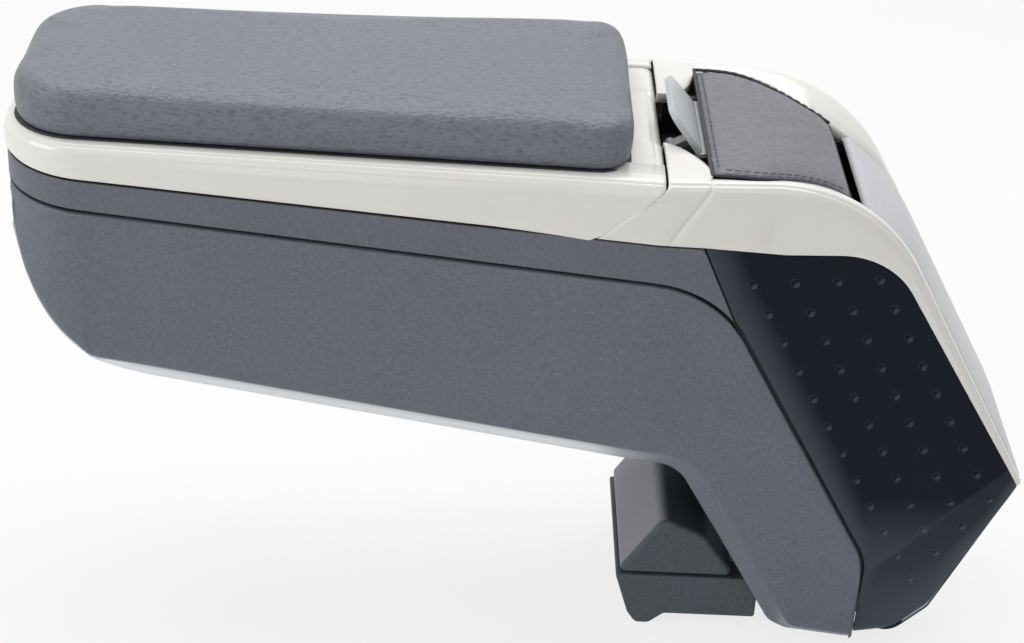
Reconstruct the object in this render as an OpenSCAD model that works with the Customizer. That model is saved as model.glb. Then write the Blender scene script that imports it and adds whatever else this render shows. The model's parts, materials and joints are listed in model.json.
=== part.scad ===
/* Car centre armrest: a padded lid over a storage tub, on a leg that tilts about a pin in its foot.
   X runs to the rear of the car, Z is up, and the origin is the centre of the foot's mounting face. */

/* [Arm] */
// X of the front end of the arm
front_x = -265.5; // [-320:0.5:-230]
// Half width of the arm at its front end
front_half = 48; // [40:0.5:56]
// Half width at the knee, where the arm is widest
knee_half = 58; // [50:0.5:66]
// X of the knee
knee_x = -26; // [-32:1:-20]
// Half width of the leg at the rear of its plan
rear_half = 44; // [42:0.5:50]
// Radius of the front corners seen from above
corner_r = 32; // [15:1:40]
// Height of the lid's flat top and of the knee
top_z = 204; // [200:1:215]
// Height of the underside of the arm at the foot's centre
under_z = 81.3; // [74:0.5:90]
// Slope of the underside in degrees
under_slope = 7.3; // [4:0.1:9]
// Radius of the arm's front under the lid
front_r = 62; // [30:1:70]
// How far the front leans back towards the bottom
front_lean = 6.5; // [0:0.5:12]
// Radius inside the corner between arm and leg
crook_r = 20; // [8:1:30]
// Wall of every moulded shell
wall = 3; // [2:0.1:4]
// Width of the bevel along the lower edges, measured across the part
bevel_in = 6; // [3:0.5:8]
// Height of that bevel
bevel_up = 8; // [4:0.5:10]

/* [Seams] */
// Height of the shell's upper edge at the foot's centre
gap_z0 = 161.5; // [155:0.5:168]
// Slope of the shell's upper edge in degrees
gap_slope = 4; // [2:0.1:5]
// Height of the lid's lower edge at the foot's centre
skirt_z0 = 178; // [172:0.5:184]
// Slope of the lid's lower edge in degrees
skirt_slope = 3; // [1:0.1:4]
// X of the upper end of the tub rim's sloping rear edge
rim_end_x = -10; // [-14:0.5:-6]
// X of a point low on that edge
rim_foot_x = 17; // [12:0.5:22]
// Height of that point
rim_foot_z = 120; // [110:1:130]
// Radius of the shell's edge where it turns down the leg
seam_bend_r = 47; // [20:1:60]
// Radius of that edge low on the leg
seam_foot_r = 25; // [10:1:40]
// Width of the shadow gap between shell, tub rim and side panels
seam = 1.4; // [0.6:0.1:2]
// Clearance between the lid and what it shuts on
lid_gap = 0.6; // [0.3:0.1:1.2]
// Width of the ledge that runs round the lid's top
ridge_in = 2.4; // [1:0.1:4]
// Height of that ledge below the lid's top
ridge_drop = 2; // [1:0.1:3]

/* [Leg] */
// Slope of the leg's front and rear in degrees
leg_angle = 60; // [56:0.5:64]
// X where the front line of the leg would meet the base
leg_front_x = 36.9; // [32:0.5:42]
// Height of the rearmost point
tip_z = 76; // [70:1:84]
// X of the rearmost point
tip_x = 124; // [118:0.5:130]
// Radius of the knee along the trim's outer ridges
knee_r = 66; // [50:1:72]
// Radius of the knee between the ridges, under the leather
saddle_r = 95; // [74:1:100]
// Height of the leg's front toe
toe_z = 7.5; // [6:0.5:10]
// Height of the leg's underside
heel_z = 2; // [1:0.5:4]
// Radius of the underside behind the toe
heel_r = 15; // [8:1:20]
// X where the underside starts to rise to the tip
rise_x = 83; // [78:0.5:88]
// X where the steep rise to the tip starts
steep_x = 96; // [90:0.5:100]
// Height where the steep rise starts
steep_z = 15; // [10:0.5:20]
// Radii of those two corners
rise_r = 12; // [6:1:16]
steep_r = 8; // [4:1:12]
// X where the seam between shell and side panels runs straight down
seam_x = 66; // [60:0.5:70]
// X where the sloping part of that seam would meet the base
seam_foot_x = 89.6; // [84:0.5:94]

/* [Trim and leather] */
// Height of the trim's lower edge over the side panels
trim_z = 176; // [172:0.5:180]
// Height of the trim's side strip above the tip line
strip = 3.4; // [2:0.2:6]
// Radius of the trim's lower edge at the knee
trim_bend_r = 34; // [10:1:40]
// Half width of the leather at its front edge
leather_front_half = 49; // [44:0.5:50]
// Half width of the leather at the pocket
leather_rear_half = 34; // [28:0.5:38]
// Width of the trim's rails down the rear of the leg
rail = 3.4; // [3.2:0.1:6]
// Length of the leather along the arm
leather_len = 52; // [44:0.5:58]
// How far the leather's recess may reach down below the lid's top
leather_deep = 54; // [40:1:60]
// Rise of the leather above the trim
leather_rise = 1; // [0.4:0.1:2]
// Width of the pocket's mouth behind the leather
mouth = 5.5; // [4:0.5:7]
// Depth of the rear pocket along the leg
pocket_depth = 84; // [50:1:95]
// Inside thickness of the rear pocket
pocket_in = 11; // [8:0.5:13]
// Height of the pocket's liner above the tilt pin, along the leg
pocket_top = 124; // [116:1:134]
// Wall of the pocket's liner
pocket_wall = 1.5; // [1:0.1:2]
// Height of the rear cover's crown across the leg
cover_crown = 2.4; // [1:0.1:3]
// Clearance round the leather and the rear cover
fit = 0.3; // [0.2:0.1:0.6]

/* [Lid and pad] */
// X of the lid's rear upper edge
part_x = -25.5; // [-30:0.5:-22]
// Radius of the lid's rear edge round its hinge
knuckle_r = 3; // [2.6:0.1:4]
// Radius of the hinge pins
hinge_pin_r = 1.5; // [1:0.1:1.8]
// Gap between the edge of the pad and the edge of the lid
pad_margin = 5; // [3:0.5:9]
// X of the rear edge of the pad
pad_rear_x = -38; // [-46:0.5:-36]
// Height of the pad
pad_h = 19; // [12:0.5:24]
// Thickness of the board inside the pad
board_t = 2; // [1.5:0.1:3]

/* [Tub] */
// X of the inside rear wall of the tub
tub_rear_x = -53; // [-80:1:-50]
// Wall of the tub
tub_wall = 2.5; // [2:0.1:3]
// Clearance between the tub and the shell below its collar
tub_clear = 1.5; // [0.5:0.1:3]
// Height of the collar that fits inside the shell
collar_h = 12; // [6:1:20]

/* [Foot] */
// Length of the foot's base
foot_len = 57; // [50:1:64]
// Half width of the foot
foot_half = 36; // [32:0.5:37]
// Height of the joint between the two foot covers
foot_split_z = 19; // [15:0.5:22]
// Height of the foot's ridge
foot_top_z = 46.5; // [40:0.5:50]
// Thickness of the steel base plate
plate_t = 3; // [2:0.1:5]
// Radius of the four fixing holes
fixing_r = 3.3; // [2.5:0.1:4.5]
// Distance of the fixing holes from the ends of the base
fixing_margin = 11.5; // [11:0.5:15]
// Distance between the fixing holes across the car
fixing_y = 26; // [20:1:30]
// Depth of the locating lugs below the base
lug_h = 5; // [2:0.5:7]
// Length of the locating lugs along the car
lug_len = 15; // [10:0.5:20]
// Width of each locating lug
lug_w = 12; // [6:0.5:16]
// Lean of the lower cover's front between its joint and the base
foot_lean = 6; // [2:0.5:8]

/* [Tilt pivot] */
// X of the tilt pin
pivot_x = 62; // [58:0.5:66]
// Height of the tilt pin
pivot_z = 48; // [46:0.5:52]
// Radius of the tilt pin
pin_r = 5; // [4:0.5:6]
// Running clearance of the pins in their bores
run = 0.05; // [0.02:0.01:0.1]
// Radius of the brake drum
drum_r = 18; // [14:0.5:20]
// Half width of the drum between the bracket's cheeks
drum_half = 20; // [14:0.5:22]
// Thickness of the steel cheeks
cheek_t = 4; // [3:0.5:5]
// Radius of the cheeks' eyes
eye_r = 13; // [11:0.5:15]
// Gap between bracket and frame that the flanged bushes fill
bush_gap = 3; // [2:0.5:4]
// Half width of the leg's underside opening
notch_half = 38.5; // [37.5:0.5:41]

/* [Release] */
// X of the lever's pin
lever_x = -9.5; // [-12:0.5:-8]
// Depth of the lever's pin below the lid's top
lever_drop = 6; // [5:0.5:8]
// Length of the lever's paddle
paddle_len = 20.5; // [14:0.5:22]
// Slope of the paddle in degrees
paddle_angle = 51; // [40:1:60]
// Half width of the paddle at its pin
paddle_half = 23; // [18:0.5:24]
// Half width of the paddle at its free edge
paddle_tip_half = 19; // [10:0.5:21]
// Thickness of the paddle
paddle_t = 2.4; // [1.8:0.1:3]
// Length of the lever's inner crank
crank = 12; // [10:0.5:13]
// Width of the push rod
rod_w = 6; // [4:0.5:7]
// Free play between crank, rod and shoe
play = 1; // [0.5:0.1:1.2]
// Distance of the shoe's pin behind the rod's line
shoe_pin_x = 13; // [10:0.5:16]
// Height of the shoe's pin above the tilt pin along the leg
shoe_pin_z = 31; // [29:0.5:34]
// Clearance between the shoe's lining and the drum
lining_gap = 0.3; // [0.2:0.05:0.6]

/* [Dimples] */
// X of the first dimple
dimple_x = 9; // [6:0.5:12]
// Height of the first dimple
dimple_z = 164; // [160:0.5:168]
// Distance between the dimples of one row
dimple_pitch = 15.6; // [14:0.1:17]
// Distance between the rows, down the slope of the leg
dimple_row = 14; // [12:0.1:16]
// Tilt of each row in degrees
dimple_tilt = 3; // [0:0.5:6]
// Radius of each dimple
dimple_r = 1.4; // [0.8:0.1:2]
// Depth of each dimple
dimple_depth = 0.6; // [0.3:0.1:1]

/* [Hidden] */
$fn = 48;
// Sizes used only to reach past the part
far = 400;
// Number of steps in a rounded corner
arc_steps = 9;
// Lean of the leg from upright
lean = 90 - leg_angle;
// Hinge of the lid, one knuckle radius inside its rear upper edge
hinge_x = part_x - knuckle_r;
hinge_z = top_z - knuckle_r;
// Height of the lever's pin
lever_z = top_z - lever_drop;
// Rear edge of the foot's base
foot_rear = foot_len / 2;
// Front and rear edges of the leather
leather_x = lever_x + hinge_pin_r * 2;
leather_end_x = leather_x + leather_len;
// Half widths of the pieces on the tilt pin, from the centre outwards
bracket_out = drum_half + cheek_t;
frame_in = bracket_out + bush_gap;
frame_out = frame_in + wall;
// End of the crank, square to the leg's line
crank_x = lever_x - crank * cos(lean);
crank_z = lever_z - crank * sin(lean);

function unit(v) = v / norm(v);
function turn(p, a) = [p[0] * cos(a) - p[1] * sin(a), p[0] * sin(a) + p[1] * cos(a)];
function flat(p) = [p[0], p[1]];

// Points of one rounded corner at p between a and b
function corner(a, p, b, r) =
    r < 0.05 ? [p] :
    let (u = unit(a - p), v = unit(b - p), half = acos(max(-1, min(1, u * v))) / 2)
    half > 89.9 ? [p] :
    let (centre = p + unit(u + v) * r / sin(half),
        start = p + u * r / tan(half) - centre,
        end = p + v * r / tan(half) - centre,
        sweep = atan2(start[0] * end[1] - start[1] * end[0], start * end))
    [for (i = [0:arc_steps]) centre + turn(start, sweep * i / arc_steps)];

// Outline with its corners rounded, from points written as [x, y, radius]
function rounded(v) = let (n = len(v))
    [for (i = [0:n - 1]) each corner(flat(v[(i + n - 1) % n]), flat(v[i]), flat(v[(i + 1) % n]), v[i][2])];

// The same outline with every edge moved inwards by d, counter-clockwise outlines only
function inset(v, d) = let (n = len(v)) [for (i = [0:n - 1])
    let (p = flat(v[i]), a = unit(p - flat(v[(i + n - 1) % n])), b = unit(flat(v[(i + 1) % n]) - p),
        na = [-a[1], a[0]], nb = [-b[1], b[0]],
        q = p + (na + nb) * d / (1 + na * nb),
        convex = a[0] * b[1] - a[1] * b[0] > 0)
    [q[0], q[1], v[i][2] < 0.05 ? 0 : max(0.06, v[i][2] + (convex ? -d : d))]];

function gap_z(x) = gap_z0 - x * tan(gap_slope);
function skirt_z(x) = skirt_z0 - x * tan(skirt_slope);
function under(x) = under_z - x * tan(under_slope);
function rear_line_x(z) = tip_x - (z - tip_z) / tan(leg_angle);
function leg_line_x(z) = leg_front_x - z / tan(leg_angle);
function seam_line_x(z) = seam_foot_x - z / tan(leg_angle);

// Crook where the underside meets the leg, and the corner where the seam turns down
crook_x = (leg_front_x - under_z / tan(leg_angle)) / (1 - tan(under_slope) / tan(leg_angle));
bend_x = (seam_foot_x - gap_z0 / tan(leg_angle)) / (1 - tan(gap_slope) / tan(leg_angle));

// Outline of the whole body from the side
body = [[front_x, top_z, 1], [front_x + front_lean, under(front_x + front_lean), front_r],
    [crook_x, under(crook_x), crook_r], [leg_line_x(toe_z), toe_z, 4], [seam_x, heel_z, heel_r],
    [rise_x, heel_z + 1, rise_r], [steep_x, steep_z, steep_r], [tip_x, tip_z, 1.5],
    [rear_line_x(top_z), top_z, knee_r]];

// The same outline with the lower saddle between the trim's ridges
saddle = [for (i = [0:len(body) - 1]) i < len(body) - 1 ? body[i] : [body[i][0], body[i][1], saddle_r]];

// Outline of the body from above
plan = [[front_x, -front_half, corner_r], [knee_x, -knee_half, 0], [tip_x + 30, -rear_half, 0],
    [tip_x + 30, rear_half, 0], [knee_x, knee_half, 0], [front_x, front_half, corner_r]];

// Side view of the region under and in front of the seam
below_seam = [[-far, gap_z(-far), 0], [-far, -far, 0], [seam_x, -far, 0],
    [seam_x, (seam_foot_x - seam_x) * tan(leg_angle), seam_foot_r], [bend_x, gap_z(bend_x), seam_bend_r]];

// Sloping edge between the tub's rim and the side panels, from top to bottom
rim_end = [rim_end_x, skirt_z(rim_end_x)];
rim_foot = [rim_foot_x, rim_foot_z];
rim_low = rim_end + (rim_foot - rim_end) * 1.4;
// Where the level and sloping parts of the trim's lower edge meet
trim_bend_x = rear_line_x(trim_z) - strip * 2.2;

// Place of the lid's rear face at height z, which slopes at 45 degrees, and its meeting with the skirt
function parting_x(z) = part_x - (hinge_z - z);
parting_z = (skirt_z0 - tan(skirt_slope) * (part_x - hinge_z)) / (1 + tan(skirt_slope));

// Side view of the trim's region, with its front along the lid's rear face
trim_side = rounded([[part_x + lid_gap, far, 0], [part_x + lid_gap, hinge_z, 0],
    [parting_x(parting_z) + lid_gap * 2, parting_z, 0], [rim_end_x, skirt_z(rim_end_x), 0],
    [rim_end_x + 30, trim_z, 0], [trim_bend_x, trim_z, trim_bend_r], [tip_x - 1, tip_z - 2, 0],
    [far, tip_z - 2, 0], [far, far, 0]]);

// Opening between the trim's rails, from above
window = both([[leather_x, -leather_front_half, 0], [leather_x + 15, 1 - leather_front_half, 30],
    [leather_end_x - 6, -leather_rear_half, 40], [leather_end_x + 15, -leather_rear_half - 1, 30],
    [leather_end_x + 35, rail - panel_y(leather_end_x + 35), 20], [tip_x + 30, rail - rear_half, 0]]);

// Adds the mirror image of half an outline
function both(v) = concat(v, [for (i = [len(v) - 1:-1:0]) [v[i][0], -v[i][1], v[i][2]]]);

// Opening in the leg's front and underside for the foot
notch_z = 64;
notch = [[-far, -far], [rise_x + 2, -far], [rise_x + 2, toe_z], [pivot_x, pivot_z - drum_r],
    [leg_line_x(notch_z) + 22, notch_z], [-far, notch_z]];

// Fills a side-view outline right across the part
module across(points, half = 100) {
    rotate([90, 0, 0]) linear_extrude(height = 2 * half, center = true) polygon(points);
}

// Fills a plan outline from the floor to above the part
module upright(points) {
    translate([0, 0, -60]) linear_extrude(height = 360) polygon(points);
}

// The whole body, d inside its outer faces
module envelope(d, outline = body) {
    intersection() {
        across(rounded(inset(outline, d)));
        upright(rounded(inset(plan, d)));
    }
}

// The same with a bevel along the lower edges of the arm and of the leg's front
module bevelled(d) {
    difference() {
        envelope(d);
        bevels(d);
    }
}

// Wedges that cut the bevels: one pair under the arm, one pair down the leg's front, met in the crook
module bevels(d) {
    flare = atan((knee_half - front_half) / (knee_x - front_x));
    taper = atan((knee_half - rear_half) / (tip_x + 30 - knee_x));
    split = (leg_angle + under_slope) / 2;
    for (side_y = [-1, 1]) {
        intersection() {
            translate([knee_x, side_y * knee_half, under(knee_x)]) rotate([0, under_slope, side_y * flare])
                bevel(side_y, d);
            mitre(split, 180);
        }
        intersection() {
            translate([leg_line_x(toe_z), side_y * panel_y(leg_line_x(toe_z)), toe_z])
                rotate([0, leg_angle, -side_y * taper]) bevel(side_y, d);
            mitre(split, 0);
        }
    }
}

// Half space beyond the bevel's plane, for an edge along X with the body above and inside
module bevel(side_y, d) {
    slope = atan(bevel_up / bevel_in);
    translate([0, -side_y * bevel_in, 0]) rotate([side_y * slope, 0, 0])
        translate([-far, -far / 2, d - far]) cube([2 * far, far, far]);
}

// Half space in front of the crook's bisector, or behind it
module mitre(split, side) {
    translate([crook_x, 0, under(crook_x)]) rotate([0, split, 0]) rotate([0, 0, side])
        translate([0, -far, -far]) cube([far, 2 * far, 2 * far]);
}

// A layer of the body's wall between two depths
module skin(outer, inner, outline = body) {
    difference() {
        envelope(outer, outline);
        envelope(inner, outline);
    }
}

// Places children in the leg's own frame: the pin at the origin, Z up along the leg
module along_leg() {
    translate([pivot_x, 0, pivot_z]) rotate([0, -lean, 0]) children();
}

// Cylinder across the part
module bar(x, z, r, y0, y1) {
    translate([x, y1, z]) rotate([90, 0, 0]) cylinder(r = r, h = y1 - y0);
}

// Box given by its lower and upper corner
module block(low, high) {
    translate(low) cube(high - low);
}

// Foot

// Front edge of the base, behind the lower cover's leaning front
base_x = foot_lean - foot_rear - 1;
// Half width between the covers' side walls
foot_in = foot_half - wall;

module foot_lower_cover() {
    side = [[base_x - foot_lean, foot_split_z], [base_x, 0], [foot_rear, 0], [foot_rear, foot_split_z]];
    color("#4c4e52") {
        difference() {
            across(side, foot_half);
            block([base_x + wall, -foot_in, -1], [foot_rear - wall, foot_in, foot_split_z + 1]);
            block([foot_rear - wall - 1, -frame_in, plate_t], [foot_rear + 1, frame_in, foot_split_z + 1]);
        }
        for (side_y = [-1, 1])
            translate([base_x, side_y * (foot_half - lug_w / 2), 0]) lug();
    }
}

// One locating lug, rounded below and carried by the cover's lower edge
module lug() {
    side = [[0, 0, 0], [lug_h * 0.6, -lug_h, 3], [lug_len * 0.6, -lug_h, 3], [lug_len, 0, 0]];
    across(rounded(side), lug_w / 2);
}

// Wedge over the pivot's bracket: a long slope to the rear and a steep one to the front
module foot_upper_cover() {
    ridge_x = base_x + 11;
    fall_x = foot_rear - 21;
    outer = [[base_x - foot_lean - 0.5, foot_split_z, 0], [fall_x + 15, foot_split_z, 0],
        [fall_x, foot_top_z - 8, 6], [ridge_x, foot_top_z, 4]];
    color("#55585c")
    difference() {
        across(rounded(outer), foot_half);
        intersection() {
            across(rounded(inset(outer, wall)), foot_in);
            block([-far, -far, foot_split_z], [far, far, far]);
        }
        block([base_x - 1, -foot_in, foot_split_z - 1], [fall_x + 9, foot_in, foot_split_z + wall + 1]);
        block([ridge_x + 2, -frame_in, foot_split_z - 1], [far, frame_in, foot_split_z + 13]);
    }
}

// Steel plate with two cheeks that reach up to the tilt pin, cut out at its front corners for the lugs
module foot_bracket() {
    low_z = foot_split_z - 4;
    fixing_x = foot_rear - fixing_margin;
    lug_in = foot_half - lug_w - 0.5;
    lug_end = base_x + lug_len + 0.5;
    cheek = [[base_x + wall, plate_t], [foot_rear - wall, plate_t], [pivot_x - 2 * eye_r, low_z],
        [pivot_x + 2, pivot_z - eye_r], [pivot_x + eye_r, pivot_z], [pivot_x, pivot_z + eye_r],
        [pivot_x - eye_r * 0.7, pivot_z + eye_r * 0.7], [foot_rear - 8, foot_split_z + 4], [-10, low_z]];
    color("#8d9094") {
        difference() {
            union() {
                difference() {
                    block([base_x + wall, -foot_in, 0], [foot_rear - wall, foot_in, plate_t]);
                    block([-far, lug_in, -1], [lug_end, foot_half, plate_t + 1]);
                    block([-far, -foot_half, -1], [lug_end, -lug_in, plate_t + 1]);
                }
                for (side_y = [-1, 1])
                    translate([0, side_y * (drum_half + cheek_t / 2), 0]) {
                        across(cheek, cheek_t / 2);
                        bar(pivot_x, pivot_z, eye_r, -cheek_t / 2, cheek_t / 2);
                    }
            }
            bar(pivot_x, pivot_z, pin_r, -far, far);
            for (sx = [-1, 1], sy = [-1, 1])
                translate([sx * fixing_x, sy * fixing_y / 2, -1]) cylinder(r = fixing_r, h = plate_t + 2);
        }
    }
}

module brake_drum() {
    color("#a9acb0")
    difference() {
        bar(pivot_x, pivot_z, drum_r, -drum_half, drum_half);
        bar(pivot_x, pivot_z, pin_r, -far, far);
    }
}

module pivot_pin() {
    color("#c4c7ca") {
        bar(pivot_x, pivot_z, pin_r, -frame_out - 0.3, frame_out + 4);
        bar(pivot_x, pivot_z, pin_r + 3, -frame_out - 3.3, -frame_out - 0.3);
    }
}

module pivot_circlip() {
    color("#2b2c2e")
    difference() {
        bar(pivot_x, pivot_z, pin_r + 3, frame_out + 0.3, frame_out + 1.8);
        bar(pivot_x, pivot_z, pin_r, -far, far);
    }
}

// Arm shells

module outer_shell() {
    color("#63666b")
    difference() {
        intersection() {
            bevelled(0);
            across(rounded(inset(below_seam, seam / 2)));
        }
        bevelled(wall);
        across(notch, notch_half);
    }
}

module storage_tub() {
    depth = wall + tub_clear;
    rim = [[-far, rim_low[1]], rim_low, rim_end, [-far, skirt_z(-far)]];
    collar = [[-far, gap_z(-far) - collar_h], [tub_rear_x + tub_wall, gap_z(tub_rear_x) - collar_h],
        [tub_rear_x + tub_wall, skirt_z(tub_rear_x)], [-far, skirt_z(-far)]];
    color("#4a4c50")
    difference() {
        union() {
            difference() {
                intersection() {
                    envelope(0);
                    across(rim);
                }
                across(rounded(inset(below_seam, -seam / 2)));
                intersection() {
                    envelope(wall);
                    block([tub_rear_x, -far, 0], [far, far, far]);
                }
            }
            intersection() {
                envelope(wall);
                across(collar);
            }
            intersection() {
                bevelled(depth);
                across([[-far, 0], [tub_rear_x + tub_wall, 0], [tub_rear_x + tub_wall, skirt_z(tub_rear_x)],
                    [-far, skirt_z(-far)]]);
            }
        }
        intersection() {
            bevelled(depth + tub_wall);
            block([-far, -far, 0], [tub_rear_x, far, far]);
        }
    }
}

module side_panel(side_y) {
    reach = [rim_end, rim_low, [rim_low[0], -far], [far, -far], [far, far], [rim_end_x, far]];
    difference() {
        intersection() {
            skin(0, wall);
            across(reach);
            translate([-far, side_y > 0 ? 0 : -far, -far]) cube([2 * far, far, 2 * far]);
        }
        across(rounded(inset(below_seam, -seam / 2)));
        across(trim_side);
        upright(rounded(window));
        across(notch, notch_half);
        dimples(side_y);
    }
}

// Rows of four dimples down the slope of the leg, with fewer in the last three
module dimples(side_y) {
    for (row = [0:11], column = [0:min(3, 11 - row)]) {
        x = dimple_x + row * dimple_row * cos(leg_angle) + column * dimple_pitch * cos(dimple_tilt);
        z = dimple_z - row * dimple_row * sin(leg_angle) + column * dimple_pitch * sin(dimple_tilt);
        translate([x, side_y * (panel_y(x) - dimple_depth), z]) rotate([-side_y * 90, 0, 0])
            cylinder(r = dimple_r, h = 5, $fn = 16);
    }
}

// Distance of the body's side face from the centre plane behind the knee
function panel_y(x) = knee_half - (knee_half - rear_half) * (x - knee_x) / (tip_x + 30 - knee_x);

module left_side_panel() {
    color("#20262e") side_panel(-1);
}

module right_side_panel() {
    color("#20262e") side_panel(1);
}

// Trim and knee

// Opening over the lever: narrow at the parting line and flared in two quarter ellipses
module well() {
    narrow = paddle_half - 1.5;
    wide = leather_front_half - 3;
    start_x = part_x - 2;
    steps = 12;
    curve = [for (i = [0:steps]) let (s = i / steps)
        [start_x + 2 + (leather_x - start_x - 2) * s, wide - (wide - narrow) * sqrt(1 - s * s)]];
    upright(concat([[start_x - far, narrow]], curve, [[leather_x + 2, wide], [leather_x + 2, -wide]],
        [for (i = [steps:-1:0]) [curve[i][0], -curve[i][1]]], [[start_x - far, -narrow]]));
}

module rear_trim() {
    color("#e9e6da") {
        difference() {
            intersection() {
                union() {
                    intersection() {
                        trim_wall();
                        block([-far, -far, 0], [far, far, top_z - ridge_drop]);
                    }
                    intersection() {
                        trim_wall();
                        upright(rounded(inset(plan, ridge_in)));
                    }
                }
                across(trim_side);
            }
            intersection() {
                upright(rounded(window));
                block([leather_end_x, -far, 0], [far, far, far]);
            }
            intersection() {
                upright(rounded(window));
                difference() {
                    block([leather_x - 1, -far, top_z - leather_deep - 10], [leather_end_x + 1, far, far]);
                    across(rounded(inset(saddle, wall)));
                }
            }
            well();
        }
        knuckles();
    }
}

// Wall of the trim, doubled under the leather so that the recess has a floor
module trim_wall() {
    difference() {
        envelope(0);
        difference() {
            envelope(wall, saddle);
            intersection() {
                across(rounded(inset(saddle, wall)));
                difference() {
                    upright(rounded(inset(window, -4)));
                    across(rounded(inset(saddle, 2 * wall)));
                }
                block([leather_x - wall, -far, top_z - leather_deep], [leather_end_x, far, far]);
            }
        }
    }
}

// The two knuckles on the trim that hold the lid's pins
knuckle_y = leather_front_half - 13;
knuckle_w = 7;
module knuckles() {
    for (side_y = [-1, 1])
        difference() {
            union() {
                translate([0, side_y * knuckle_y, 0])
                    bar(hinge_x, hinge_z, knuckle_r, -knuckle_w / 2, knuckle_w / 2);
                translate([hinge_x, side_y * knuckle_y - knuckle_w / 2, hinge_z - knuckle_r])
                    cube([knuckle_r + lid_gap + 4, knuckle_w, 2 * knuckle_r - 0.5]);
            }
            bar(hinge_x, hinge_z, hinge_pin_r, -far, far);
        }
}

module lid_hinge_pins() {
    color("#c4c7ca")
    for (side_y = [-1, 1])
        translate([0, side_y * knuckle_y, 0]) bar(hinge_x, hinge_z, hinge_pin_r, -knuckle_w, knuckle_w);
}

// Board under the leather, in the trim's recess
module knee_board() {
    color("#3a3c40")
    intersection() {
        skin(wall - board_t, wall, saddle);
        upright(rounded(inset(window, fit + 1)));
        block([leather_x, -far, top_z - leather_deep], [leather_end_x, far, far]);
    }
}

module knee_leather() {
    color("#3f454d")
    intersection() {
        difference() {
            across(rounded(inset(saddle, -leather_rise)));
            across(rounded(inset(saddle, wall - board_t)));
        }
        upright(rounded(inset(window, fit)));
        block([leather_x, -far, top_z - leather_deep], [leather_end_x, far, far]);
    }
}

module rear_cover() {
    start_x = leather_end_x + mouth;
    behind_x = seam_x + seam / 2;
    reach = [[start_x, far], [start_x, tip_z], [behind_x, pivot_z], [behind_x, -far],
        [far, -far], [far, far]];
    color("#5f666d")
    difference() {
        intersection() {
            union() {
                envelope(0, saddle);
                crown();
            }
            upright(rounded(inset(window, fit)));
            across(reach);
        }
        envelope(wall, saddle);
        across(notch, notch_half);
    }
}

// Swelling of the rear cover: a large cylinder down the leg, held to an outline that fades out at both ends.
// The outline's knee is rounder than the saddle's, so that the swelling starts below the pocket.
module crown() {
    fade_r = 1.26 * saddle_r;
    half = panel_y(tip_x) - rail;
    radius = (half * half + cover_crown * cover_crown) / (2 * cover_crown);
    shift = cover_crown / sin(leg_angle);
    back = (rear_line_x(pivot_z) - pivot_x) * cos(lean);
    fade_z = tip_z + 15;
    bulged = [[knee_x, tip_z, 0], [tip_x, tip_z, 0], [rear_line_x(fade_z) + shift, fade_z, 12],
        [rear_line_x(top_z) + shift, top_z, fade_r], [knee_x, top_z, 0]];
    intersection() {
        across(rounded(bulged));
        along_leg() translate([back + cover_crown - radius, 0, 0])
            cylinder(r = radius, h = 2 * far, center = true, $fn = 240);
    }
}

// Rear pocket behind the knee, flat against the rear cover
module pocket_liner() {
    t = pocket_wall;
    top = pocket_top;
    back = (rear_line_x(pivot_z) - pivot_x) * cos(lean) - wall;
    front = back - pocket_in - 2 * t;
    half = leather_rear_half - 2;
    color("#26282b")
    intersection() {
        envelope(wall, saddle);
        along_leg() difference() {
            block([front, -half, top - pocket_depth], [back, half, top]);
            block([front + t, t - half, top - pocket_depth + t], [back - t, half - t, top + 1]);
        }
    }
}

// Lever and its housing

module lever_housing() {
    out = paddle_half + 5;
    in = paddle_half + 2;
    floor_z = crank_z - 8;
    color("#1f2022")
    difference() {
        block([part_x + 4, -out, floor_z], [leather_x, out, top_z - wall]);
        block([part_x, -in, floor_z + 2], [leather_x + 1, in, far]);
        bar(lever_x, lever_z, hinge_pin_r + run, -far, far);
        translate([crank_x - 5, -6, floor_z - 1]) cube([16, 12, 4]);
    }
}

module lever_pin() {
    color("#c4c7ca") bar(lever_x, lever_z, hinge_pin_r, -paddle_half - 5, paddle_half + 5);
}

module lever_paddle() {
    boss_r = hinge_pin_r + 1.2;
    color("#8f959b")
    difference() {
        union() {
            translate([lever_x, 0, lever_z]) rotate([0, paddle_angle - 180, 0])
                translate([0, 0, -paddle_t / 2]) linear_extrude(height = paddle_t)
                    polygon(rounded([[0, -paddle_half, 0], [paddle_len, -paddle_tip_half, 7],
                        [paddle_len, paddle_tip_half, 7], [0, paddle_half, 0]]));
            bar(lever_x, lever_z, boss_r, -paddle_half - 1, paddle_half + 1);
            translate([lever_x, 0, lever_z]) rotate([0, -lean, 0])
                block([-crank, -3, -1.2], [0, 3, 1.2]);
            bar(crank_x, crank_z, 2, -4, 4);
        }
        bar(lever_x, lever_z, hinge_pin_r + run, -far, far);
    }
}

// Leg: frame, pin bushes, push rod and brake

// Place of the crank's end in the leg's frame
rod_x = (crank_x - pivot_x) * cos(lean) + (crank_z - pivot_z) * sin(lean);
rod_top = (crank_z - pivot_z) * cos(lean) - (crank_x - pivot_x) * sin(lean) - 2 - play;
// Height of the rod's foot over the shoe's tail
tail_x = shoe_pin_x + 16;
tail_z = shoe_pin_z + 4;
// Reach of the frame's cheeks along and across the leg
frame_top = 104;
frame_front = 26;
frame_rear = 40;
frame_screw_r = 6;
// Radius of the bushes, of the shoe's pin, and half width and lining of the shoe
bush_r = pin_r + 2;
shoe_pin_r = 2.5;
shoe_half = 10;
lining_t = 3;

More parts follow.
